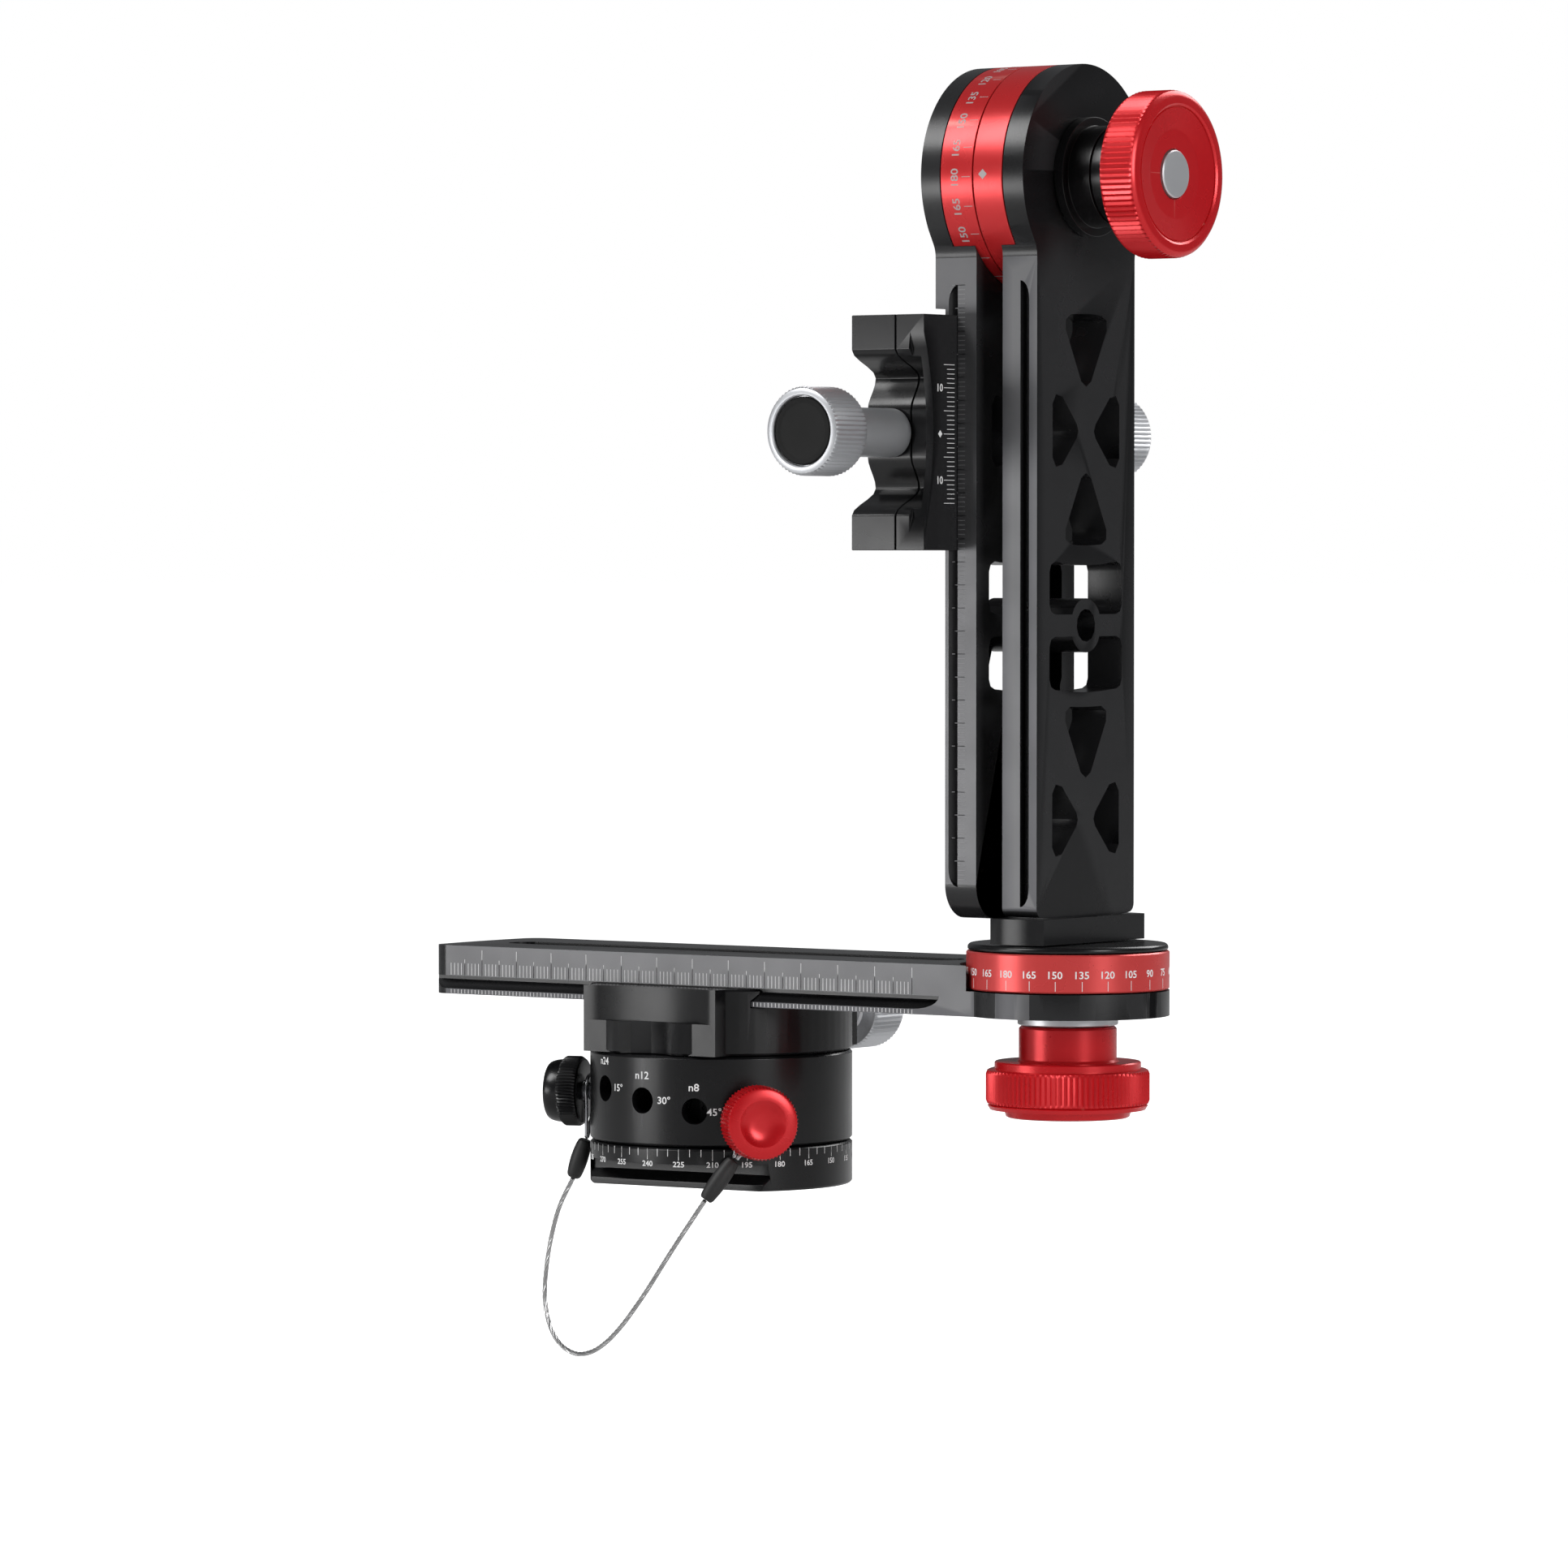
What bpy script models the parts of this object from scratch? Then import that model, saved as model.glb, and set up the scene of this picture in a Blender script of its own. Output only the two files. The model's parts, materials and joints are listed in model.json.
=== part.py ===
"""Panoramic tripod head: a rotator, a sliding lower rail, an upright and a tilting camera arm.

Metres, +Z up.  The origin is the centre of the tripod face on the pan axis, +X runs along the
lower rail to the hub, and -Y faces the viewer.
"""
from math import acos, asin, atan2, cos, degrees, pi, radians, sin, sqrt

import bmesh
import bpy
from mathutils import Matrix, Vector

# Clearances and construction values shared by all pieces
GAP = 0.0003
OVERRUN = 0.002
MERGE = 0.000001
WELD = 0.00002
CUTTER_SEAM = 7.0
TURN_STEPS = 32
KNOB_STEPS = 24
SMALL_STEPS = 12

# Rotator: base ring, housing and what turns between them
ROTATOR_RADIUS = 0.0296
BASE_HEIGHT = 0.0097
HOUSING_TOP = 0.03005
EDGE_CHAMFER = 0.0005
FOOT_TURN = 5.0
FOOT_HALF_WIDTH = 0.0190
FOOT_FLANGE = 0.0014
FOOT_SLOPE_TOP = 0.00345
FOOT_NECK_HALF_WIDTH = 0.0169
FOOT_GROOVE_TOP = 0.0060
THREAD_RADIUS = 0.00476
BUSH_RADIUS = 0.0077
BUSH_HEIGHT = 0.0082
HOUSING_WALL = 0.0096
CORE_CLEARANCE = 0.0006
CAVITY_RADIUS = ROTATOR_RADIUS - HOUSING_WALL
CORE_RADIUS = CAVITY_RADIUS - CORE_CLEARANCE
CORE_TOP = 0.0262
WEB_BOTTOM = 0.0275
CORE_SCREW_INSET = 0.0062
CORE_SCREW_CIRCLE = CORE_RADIUS - CORE_SCREW_INSET
CORE_SCREW_RADIUS = 0.0015
CORE_SCREW_HEAD = 0.0028
CORE_SCREW_HEAD_DEPTH = 0.0024
CORE_SCREW_TIP = 0.0180
CORE_SCREWS = 3
PAN_BEARING_MARGIN = 0.0030
PAN_BEARING_OUTER = CAVITY_RADIUS - PAN_BEARING_MARGIN
PAN_BEARING_WALL = 0.0080
PAN_BEARING_INNER = PAN_BEARING_OUTER - PAN_BEARING_WALL
CENTRE_BOLT_RADIUS = 0.0036
CENTRE_BOLT_HEAD_RADIUS = 0.0075
CENTRE_BOLT_HEAD_HEIGHT = 0.0024
CENTRE_BOLT_BOTTOM = 0.0130

# Index holes: one row of dimples each, a hole for each row
INDEX_HOLE_RADIUS = 0.0029
INDEX_TOP_ROW = 0.0221
INDEX_ROW_STEP = 0.00205
INDEX_TURNS = (-115.0, -90.0, -65.0, -40.0)
INDEX_COUNTS = (24, 12, 8, 6)
DIMPLE_RADIUS = 0.0009
DIMPLE_DEPTH = 0.0009

# Index plunger and its red knob
KNOB_STANDOFF = 0.0028
BARREL_RADIUS = 0.0026
PLUNGER_TIP_RADIUS = 0.0006
INDEX_KNOB_BACK = ROTATOR_RADIUS + KNOB_STANDOFF
INDEX_KNOB_LENGTH = 0.0080
INDEX_KNOB_RADIUS = 0.00825
INDEX_KNOB_TEETH = 28
INDEX_DISH_RADIUS = 0.00525
INDEX_DISH_DEPTH = 0.0014
INDEX_BARREL_GRIP = 0.0050

# Pan lock: screw, shoe and black knob
LOCK_TURN = -160.0
LOCK_HEIGHT = 0.0198
LOCK_SCREW_RADIUS = 0.0022
LOCK_SHOE_LENGTH = 0.0022
LOCK_KNOB_BACK = ROTATOR_RADIUS + KNOB_STANDOFF
LOCK_KNOB_LENGTH = 0.0081
LOCK_KNOB_RADIUS = 0.00795
LOCK_KNOB_BAND = 0.0048
LOCK_DOME_RADIUS = 0.0060
LOCK_KNOB_TEETH = 26
LOCK_SCREW_GRIP = 0.0045

# Knurl shared by all knobs
KNURL_DEPTH = 0.0004

# Rail section shared by the lower rail, the upright and the camera arm
RAIL_HALF_WIDTH = 0.0190
RAIL_GROOVE_DEPTH = 0.0021
JAW_REACH = 0.0014

# Lower clamp on the rotator
CLAMP_BOTTOM = 0.0303
CLAMP_FLOOR = 0.0409
CLAMP_TOP = 0.0451
CLAMP_STEP = 0.0374
CLAMP_HALF_LENGTH = 0.0184
CLAMP_FRONT_CUT = 0.0026
CLAMP_FRONT = ROTATOR_RADIUS - CLAMP_FRONT_CUT
CLAMP_SIDE_WALL = 0.0096
CLAMP_SPLIT = ROTATOR_RADIUS - CLAMP_SIDE_WALL
CLAMP_BOLT_INSET = 0.0053
CLAMP_BOLT_PLACE = ROTATOR_RADIUS - CLAMP_BOLT_INSET
CLAMP_BOLT_RADIUS = 0.0013
CLAMP_BOLT_HEAD = 0.0024
CLAMP_BOLT_HEAD_DEPTH = 0.0016
CLAMP_BOLT_TIP = 0.0235
SCALLOP_HALF_LENGTH = 0.0172
SCALLOP_DEPTH = 0.0026
RECESS_RADIUS = 0.0090
RECESS_DEPTH = 0.0050
CLAMP_SCREW_HEIGHT = 0.0370
CLAMP_SCREW_RADIUS = 0.0025
CLAMP_SCREW_DEPTH = 0.0230
GUIDE_PIN_RADIUS = 0.0014
GUIDE_PIN_SPREAD = 0.0125
GUIDE_PIN_DEPTH = 0.0110

# Silver clamp knobs, all three alike
SILVER_STEM_RADIUS = 0.00535
SILVER_STEM_LENGTH = 0.0197
SILVER_KNOB_RADIUS = 0.0096
SILVER_KNOB_LENGTH = 0.0118
SILVER_KNOB_TEETH = 28
SILVER_CAP_RADIUS = 0.0073
SILVER_CAP_DEPTH = 0.0015
SILVER_SCREW_GRIP = 0.0160

# Lower rail and its hub
RAIL_START = -0.0690
RAIL_BOTTOM = 0.04119
RAIL_TOP = 0.05226
RAIL_CORNER_RADIUS = 0.0046
RAIL_FLANGE = 0.0012
RAIL_GROOVE_HEIGHT = 0.0030
RAIL_GROOVE_END = 0.0733
RAIL_RUNOUT = 0.0073
RAIL_SLOT_START = -0.0600
RAIL_SLOT_END = 0.0660
RAIL_SLOT_HALF_WIDTH = 0.0042
RAIL_SLOT_DEPTH = 0.0038
HUB_X = 0.09434
HUB_RADIUS = 0.0222
HUB_FLOOR = 0.0467
HUB_POCKET_RADIUS = 0.0236
HUB_FILLET = 0.0025
HUB_RING_TOP = 0.05533
HUB_RING_BORE = 0.0150
HUB_CAP_RADIUS = 0.0219
HUB_CAP_HEIGHT = 0.0013
HUB_BOLT_RADIUS = 0.0036
HUB_BUSH_WALL = 0.0014
HUB_BOLT_HEAD_RADIUS = 0.0062
HUB_BOLT_HEAD_HEIGHT = 0.0026

# Red hub knob under the hub
HUB_WASHER_RADIUS = 0.0110
HUB_WASHER_HEIGHT = 0.0018
HUB_STEM_RADIUS = 0.0107
HUB_STEM_LENGTH = 0.0077
HUB_COLLAR_RADIUS = 0.0160
HUB_COLLAR_HEIGHT = 0.0017
HUB_KNOB_RADIUS = 0.0179
HUB_KNURL_HEIGHT = 0.0077
HUB_KNOB_TEETH = 40
HUB_KNOB_LIP = 0.0011
HUB_BOSS_RADIUS = 0.0140
HUB_BOSS_HEIGHT = 0.0018

# Swivel block on the hub
BLOCK_RADIUS = 0.0210
BLOCK_HALF_DEPTH = 0.0070
BLOCK_TOP = 0.0628
SET_SCREW_RADIUS = 0.0014
SET_SCREW_OUT = 0.0014
SET_SCREW_DEPTH = 0.0030
SET_SCREW_Y = -0.0160
SET_SCREW_DROP = 0.0028
SET_SCREW_HEIGHT = BLOCK_TOP - SET_SCREW_DROP
BLOCK_SCREW_RADIUS = 0.0015
BLOCK_SCREW_SPREAD = 0.0125
BLOCK_SCREW_RISE = 0.0070
BLOCK_SCREW_HEAD = 0.0026

# Upright beam
TILT_HEIGHT = 0.2235
UPRIGHT_BACK = 0.0900
UPRIGHT_FRONT = 0.09897
UPRIGHT_FLANGE = 0.00205
UPRIGHT_GROOVE = 0.0023
BEAM_CORNER_RADIUS = 0.0020
GROOVE_LOW_END = 0.0654
GROOVE_TOP_DROP = 0.0228
GROOVE_HIGH_END = TILT_HEIGHT - GROOVE_TOP_DROP
BEAM_RUNOUT = 0.0040
HEAD_RADIUS = 0.02457
HEAD_FILLET = 0.0060
RING_POCKET_RADIUS = 0.0248
RING_POCKET_FLOOR = 0.0938

# Cut-outs shared by the upright and the camera arm
WINDOW_DROP = 0.01695
WINDOW_CENTRE = (BLOCK_TOP + TILT_HEIGHT) / 2 - WINDOW_DROP
WINDOW_CORNER = 0.0022
WINDOW_HALF_WIDTH = 0.0141
WINDOW_BRIDGE = 0.0024
WINDOW_HEIGHT = 0.0115
BOSS_RADIUS = 0.0059
BOSS_HOLE_RADIUS = 0.0036
TRIANGLE_HALF_WIDTH = 0.0097
TRIANGLE_HEIGHT = 0.0180
TRIANGLE_OFFSET = 0.0176
DIAMOND_INNER = 0.0022
DIAMOND_OUTER = 0.0130
DIAMOND_HALF_HEIGHT = 0.0113
DIAMOND_OFFSET = 0.0422
TOP_TRIANGLE_DROP = 0.0299
TOP_TRIANGLE_BASE = TILT_HEIGHT - TOP_TRIANGLE_DROP

# Tilt head
TILT_RING_SPLIT = 0.0858
TILT_SCALE_START = 0.0772
ARM_HEAD_START = 0.0723
COLLAR_RADIUS = 0.0130
COLLAR_END = 0.1015
COLLAR_NECK_RADIUS = 0.0110
COLLAR_NECK_END = 0.1070
TILT_STEM_RADIUS = 0.0107
TILT_KNOB_START = 0.1140
TILT_KNOB_END = 0.1231
TILT_KNOB_RADIUS = 0.0181
TILT_KNOB_TEETH = 40
TILT_RIM_ROUND = 0.0007
TILT_BAND_DROP = 0.0012
TILT_STEP_RADIUS = 0.0146
TILT_STEP_DEPTH = 0.0004
TILT_DISH_FLAT = 0.0095
TILT_DISH_DEPTH = 0.0013
TILT_CAP_RADIUS = 0.00517
TILT_CAP_FACE = 0.1223
TILT_CAP_DEPTH = 0.0016
AXLE_RADIUS = 0.0046
AXLE_FLANGE_RADIUS = 0.0120
AXLE_FLANGE_HEIGHT = 0.0030
TILT_BUSH_WALL = 0.0016
ARM_SCREW_CIRCLE = 0.0195
ARM_SCREW_RADIUS = 0.0013
ARM_SCREW_LENGTH = 0.0080

# Camera arm
ARM_BACK = 0.07489
ARM_FRONT = 0.0831
ARM_BOTTOM = 0.0623
ARM_CORNER_RADIUS = 0.0076
ARM_FLANGE = 0.0009
ARM_GROOVE = 0.0024
ARM_NECK_DROP = 0.0285
ARM_NECK_LOW = TILT_HEIGHT - ARM_NECK_DROP
ARM_GROOVE_LOW = 0.0693
ARM_GROOVE_DROP = 0.0235
ARM_GROOVE_HIGH = TILT_HEIGHT - ARM_GROOVE_DROP

# Camera clamp on the arm
CAMERA_CLAMP_DROP = 0.0555
CAMERA_CLAMP_CENTRE = TILT_HEIGHT - CAMERA_CLAMP_DROP
CAMERA_CLAMP_HALF = 0.0255
CAMERA_FACE = 0.0587
CAMERA_FLOOR = 0.0626
ARM_FLOOR = 0.0746
VERNIER_FACE = 0.0780
JAW_SPLIT = 0.0704
REAR_SPLIT = 0.0664
RIM_START = 0.0761
HORN_DEPTH = 0.0314
HORN_HALF_HEIGHT = 0.0038
RIM_MIDDLE_DEPTH = 0.0280
SCALLOP_MIDDLE = 0.0225
SCALLOP_OFFSET = 0.0120
PAD_DEPTH = 0.0255
PAD_HALF_HEIGHT = 0.0050
REAR_DEPTH = 0.0240
FRONT_STEM_LENGTH = 0.0219
FRONT_KNOB_X = 0.0656
REAR_KNOB_X = 0.0702
CAMERA_GUIDE_SPREAD = 0.0170
CAMERA_SCREW_RADIUS = 0.0020
CAMERA_SCREW_DEPTH = 0.0175

# Tether: steel cable with two eyes and two crimped sleeves
CABLE_DIAMETER = 0.0011
CABLE_SAMPLE_SHARE = 2.5
EYE_WIRE_RADIUS = 0.00045
EYE_RADIUS = 0.0037
EYE_STAND_OFF = 0.0310
CRIMP_RADIUS = 0.0020
CRIMP_WAIST_RADIUS = 0.0015
LEFT_CRIMP_TOP = Vector((-0.0303, -0.0110, 0.0087))
LEFT_CRIMP_END = Vector((-0.0334, -0.0115, 0.0001))
RIGHT_CRIMP_TOP = Vector((0.0214, -0.0242, 0.0074))
RIGHT_CRIMP_END = Vector((0.0170, -0.0287, -0.0013))
CABLE_ROUTE = (
    (-0.0385, -0.0099, -0.0067), (-0.0417, -0.0088, -0.0135), (-0.0436, -0.0082, -0.0202),
    (-0.0446, -0.0078, -0.0268), (-0.0440, -0.0080, -0.0314), (-0.0417, -0.0088, -0.0358),
    (-0.0379, -0.0101, -0.0388), (-0.0322, -0.0121, -0.0401), (-0.0265, -0.0140, -0.0392),
    (-0.0208, -0.0160, -0.0366), (-0.0151, -0.0179, -0.0326), (-0.0095, -0.0198, -0.0277),
    (-0.0039, -0.0217, -0.0223), (0.0022, -0.0238, -0.0160), (0.0083, -0.0259, -0.0099),
)

UP = Vector((0, 0, 1))
EAST = Vector((1, 0, 0))
NORTH = Vector((0, 1, 0))


# Scene and materials

def start_scene():
    """Empty the scene and return the two collections: the object's parts and the cutters."""
    for old in list(bpy.data.objects):
        bpy.data.objects.remove(old, do_unlink=True)
    made = []
    for name in ("panoramic_tripod_head", "cutters"):
        group = bpy.data.collections.new(name)
        bpy.context.scene.collection.children.link(group)
        made.append(group)
    return made


PARTS, CUTTERS = start_scene()


def metal(name, colour, metallic, roughness):
    """A Principled material of the given colour."""
    made = bpy.data.materials.new(name)
    made.use_nodes = True
    shader = made.node_tree.nodes["Principled BSDF"]
    shader.inputs["Base Color"].default_value = (*colour, 1.0)
    shader.inputs["Metallic"].default_value = metallic
    shader.inputs["Roughness"].default_value = roughness
    made.diffuse_color = (*colour, 1.0)
    return made


BLACK = metal("black_anodised", (0.018, 0.018, 0.020), 0.6, 0.45)
RED = metal("red_anodised", (0.55, 0.015, 0.02), 0.8, 0.32)
SILVER = metal("silver_aluminium", (0.72, 0.72, 0.74), 1.0, 0.28)
STEEL = metal("steel", (0.55, 0.56, 0.58), 1.0, 0.3)
BRONZE = metal("bronze", (0.55, 0.36, 0.16), 1.0, 0.4)
SLEEVE = metal("black_sleeve", (0.02, 0.02, 0.02), 0.3, 0.5)


# Placing and making solids

def facing(direction, origin=(0, 0, 0), side=None):
    """Matrix whose local +Z runs along direction; side, when given, is its local +X."""
    z = Vector(direction).normalized()
    x = Vector(side) if side is not None else (EAST if abs(z.x) < abs(cos(pi / 4)) else NORTH)
    x = (x - z * x.dot(z)).normalized()
    turn = Matrix((x, z.cross(x), z)).transposed()
    return Matrix.Translation(Vector(origin)) @ turn.to_4x4()


def round_the_pan(turn, height, reach=0.0):
    """A place at an angle round the pan axis, with local +Z pointing outwards."""
    out = Vector((cos(radians(turn)), sin(radians(turn)), 0))
    return facing(out, out * reach + UP * height, side=UP)


def listed(name, data, place, material):
    """An object in the parts collection, or in the cutters when it has no material."""
    made = bpy.data.objects.new(name, data)
    made.matrix_world = place
    (PARTS if material else CUTTERS).objects.link(made)
    if material:
        data.materials.append(material)
    else:
        made.hide_render = True
        made.display_type = "WIRE"
    return made


def turned(name, profile, place=Matrix(), material=None, steps=TURN_STEPS):
    """A turned solid: (radius, height) points run down the outer side, top to bottom."""
    mesh = bpy.data.meshes.new(name)
    edges = [(i, i + 1) for i in range(len(profile) - 1)]
    if profile[0] == profile[-1]:
        profile = profile[:-1]
        edges[-1] = (len(profile) - 1, 0)
    mesh.from_pydata([(radius, 0, height) for radius, height in profile], edges, [])
    seam = Matrix.Rotation(radians(0 if material else CUTTER_SEAM), 4, UP)
    made = listed(name, mesh, place @ seam, material)
    turn = made.modifiers.new("turn", "SCREW")
    turn.steps = steps
    turn.render_steps = steps
    turn.use_merge_vertices = True
    turn.merge_threshold = MERGE
    return made


def rod(name, radius, low, high, place=Matrix(), material=None, steps=SMALL_STEPS, chamfer=0.0):
    """A solid cylinder along local Z, with both ends chamfered when asked."""
    inner = radius - chamfer
    profile = [(0, high), (inner, high), (radius, high - chamfer),
               (radius, low + chamfer), (inner, low), (0, low)]
    if not chamfer:
        profile = [(0, high), (radius, high), (radius, low), (0, low)]
    return turned(name, profile, place, material, steps)


def tube(name, outer, inner, low, high, place=Matrix(), material=None, steps=TURN_STEPS):
    """A plain ring along local Z."""
    profile = [(outer, high), (outer, low), (inner, low), (inner, high), (outer, high)]
    return turned(name, profile, place, material, steps)


def extruded(name, outline, low, high, place=Matrix(), material=None):
    """A flat outline in local XY, made thick from low to high along local Z."""
    curve = bpy.data.curves.new(name, "CURVE")
    curve.dimensions = "2D"
    curve.fill_mode = "BOTH"
    curve.extrude = (high - low) / 2
    spline = curve.splines.new("POLY")
    spline.points.add(len(outline) - 1)
    for point, (x, y) in zip(spline.points, outline):
        point.co = (x, y, 0, 1)
    spline.use_cyclic_u = True
    return meshed(name, curve, place @ Matrix.Translation(UP * (low + high) / 2), material)


def meshed(name, curve, place, material):
    """The mesh of a curve, with its caps welded on."""
    holder = bpy.data.objects.new("outline", curve)
    CUTTERS.objects.link(holder)
    bpy.context.view_layer.update()
    whole = holder.evaluated_get(bpy.context.evaluated_depsgraph_get())
    mesh = bpy.data.meshes.new_from_object(whole)
    bpy.data.objects.remove(holder, do_unlink=True)
    welded = bmesh.new()
    welded.from_mesh(mesh)
    bmesh.ops.remove_doubles(welded, verts=welded.verts, dist=MERGE)
    bmesh.ops.recalc_face_normals(welded, faces=welded.faces)
    welded.to_mesh(mesh)
    welded.free()
    mesh.materials.clear()
    return listed(name, mesh, place, material)


def box(name, low, high, material=None):
    """A box between two corners."""
    low, high = Vector(low), Vector(high)
    mesh = bpy.data.meshes.new(name)
    cube = bmesh.new()
    bmesh.ops.create_cube(cube, size=1.0)
    for corner in cube.verts:
        corner.co = Vector(corner.co[i] * (high[i] - low[i]) + (high[i] + low[i]) / 2 for i in range(3))
    cube.to_mesh(mesh)
    cube.free()
    return listed(name, mesh, Matrix(), material)


def boolean(target, other, operation):
    step = target.modifiers.new(other.name, "BOOLEAN")
    step.operation = operation
    step.object = other
    return target


def cut(target, *cutters):
    """Take each cutter out of the target."""
    for cutter in cutters:
        boolean(target, cutter, "DIFFERENCE")
    return target


def join(target, *others):
    """Add guide shapes to the target; they stay among the cutters."""
    for other in others:
        boolean(target, other, "UNION")
    return target


def keep(target, other):
    return boolean(target, other, "INTERSECT")


# Outlines

def arc(centre, radius, start, end, count):
    """Points along an arc, from the start angle to the end angle in degrees."""
    turns = [radians(start + (end - start) * i / count) for i in range(count + 1)]
    return [(centre[0] + radius * cos(t), centre[1] + radius * sin(t)) for t in turns]


def rounded(corners, radius, count=2):
    """A closed outline whose corners are rounded by arcs."""
    out = []
    for i, corner in enumerate(corners):
        here = Vector(corner)
        back = (Vector(corners[i - 1]) - here).normalized()
        ahead = (Vector(corners[(i + 1) % len(corners)]) - here).normalized()
        half = back.angle(ahead) / 2
        middle = here + (back + ahead).normalized() * (radius / sin(half))
        first = here + back * (radius * cos(half) / sin(half))
        last = here + ahead * (radius * cos(half) / sin(half))
        start = atan2(first.y - middle.y, first.x - middle.x)
        sweep = atan2(last.y - middle.y, last.x - middle.x) - start
        sweep = (sweep + pi) % (2 * pi) - pi
        out += arc(middle, radius, degrees(start), degrees(start + sweep), count)
    return out


def knurled(radius, teeth):
    """Outline of a knurled round: peaks at the radius, valleys one knurl depth lower."""
    out = []
    for i in range(teeth):
        out += arc((0, 0), radius, 360 * i / teeth, 360 * i / teeth, 1)[:1]
        out += arc((0, 0), radius - KNURL_DEPTH, 360 * (i + 1 / 2) / teeth, 360 * (i + 1 / 2) / teeth, 1)[:1]
    return out


def paddle(half_width, end, corner, head, radius, fillet):
    """Outline of a bar along local Y with a round head: end below, head centre above."""
    rise = sqrt((radius + fillet) ** 2 - (half_width + fillet) ** 2)
    centre = (half_width + fillet, head - rise)
    lean = degrees(atan2(rise, half_width + fillet))
    right = arc((half_width - corner, end + corner), corner, -90, 0, 5)
    right += arc(centre, fillet, 180, 180 - lean, 6)
    right += arc((0, head), radius, -lean, 90, 18)
    left = [(-x, y) for x, y in reversed(right[:-1])]
    return right + left


def run_out(end, run, flange, height):
    """Curve of a groove that rises out of the side: along the flange, then up to the end."""
    turns = [pi / 2 * i / 6 for i in range(7)]
    return [(end - run + run * sin(t), flange + height * (1 - cos(t))) for t in turns]


def side_grooves(name, start, end, runs, flange, height, place):
    """Cutters for both dovetail grooves of a bar along local X, flange face at local Z 0."""
    low, high = flange - OVERRUN, flange + height + OVERRUN
    first = [(-x, z) for x, z in run_out(-start, runs[0], flange, height)]
    last = run_out(end, runs[1], flange, height)
    side_view = [(first[0][0], low), (last[0][0], low)] + last
    side_view += [(last[-1][0], high), (first[-1][0], high)] + first[::-1]
    outer, inner = RAIL_HALF_WIDTH + OVERRUN, RAIL_HALF_WIDTH - RAIL_GROOVE_DEPTH
    made = []
    for side in (1, -1):
        section = [(side * outer, flange), (side * RAIL_HALF_WIDTH, flange),
                   (side * inner, flange + RAIL_GROOVE_DEPTH), (side * inner, flange + height),
                   (side * outer, flange + height)]
        groove = extruded(name + "_groove", section, start, end, place @ facing(EAST, side=NORTH))
        shape = extruded(name + "_run_out", side_view, -outer - OVERRUN, outer + OVERRUN,
                         place @ facing(-NORTH, side=EAST))
        made.append(keep(groove, shape))
    return made


def jaw_side(flange, top):
    """Inner side of a jaw, as (half width, height above the channel floor) points."""
    rise = flange + GAP * sqrt(2)
    tip = RAIL_HALF_WIDTH - JAW_REACH
    return [(RAIL_HALF_WIDTH + GAP, 0), (RAIL_HALF_WIDTH + GAP, rise),
            (tip, rise + GAP + JAW_REACH), (tip, top)]


# Knobs and screws used more than once

def screw(name, place, radius, length, head_radius, head_height):
    """A cap screw: head on local Z 0 and up, shank below."""
    profile = [(0, head_height), (head_radius, head_height), (head_radius, 0),
               (radius, 0), (radius, -length), (0, -length)]
    return turned(name, profile, place, STEEL, SMALL_STEPS)


def screw_hole(place, radius, length, head_radius, head_height):
    """Cutter for a screw made with the same sizes, open past its head."""
    profile = [(0, head_height), (head_radius + GAP, head_height), (head_radius + GAP, -GAP),
               (radius + GAP, -GAP), (radius + GAP, -length - GAP), (0, -length - GAP)]
    return turned("screw_hole", profile, place, None, SMALL_STEPS)


def silver_knob(name, place, stem_length, screw_radius, screw_length):
    """Knurled knob, its black cap and its screw; local Z 0 is where the stem starts."""
    top = stem_length + SILVER_KNOB_LENGTH
    profile = [(0, top), (SILVER_KNOB_RADIUS - KNURL_DEPTH * 2, top),
               (SILVER_KNOB_RADIUS - KNURL_DEPTH * 2, stem_length),
               (SILVER_STEM_RADIUS, stem_length), (SILVER_STEM_RADIUS, EDGE_CHAMFER),
               (SILVER_STEM_RADIUS - EDGE_CHAMFER, 0), (0, 0)]
    knob = turned(name, profile, place, SILVER, SMALL_STEPS)
    band = extruded(name + "_band", knurled(SILVER_KNOB_RADIUS, SILVER_KNOB_TEETH),
                    stem_length + EDGE_CHAMFER, top - EDGE_CHAMFER, place)
    join(knob, band)
    cut(knob, rod(name + "_bore", screw_radius + GAP, -OVERRUN, SILVER_SCREW_GRIP + GAP, place),
        rod(name + "_pocket", SILVER_CAP_RADIUS + GAP, top - SILVER_CAP_DEPTH - GAP, top + OVERRUN, place))
    rod(name + "_cap", SILVER_CAP_RADIUS, top - SILVER_CAP_DEPTH, top, place, BLACK, chamfer=GAP)
    rod(name.replace("knob", "screw"), screw_radius, -screw_length, SILVER_SCREW_GRIP, place, STEEL)


# Base: what stays on the tripod

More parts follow.
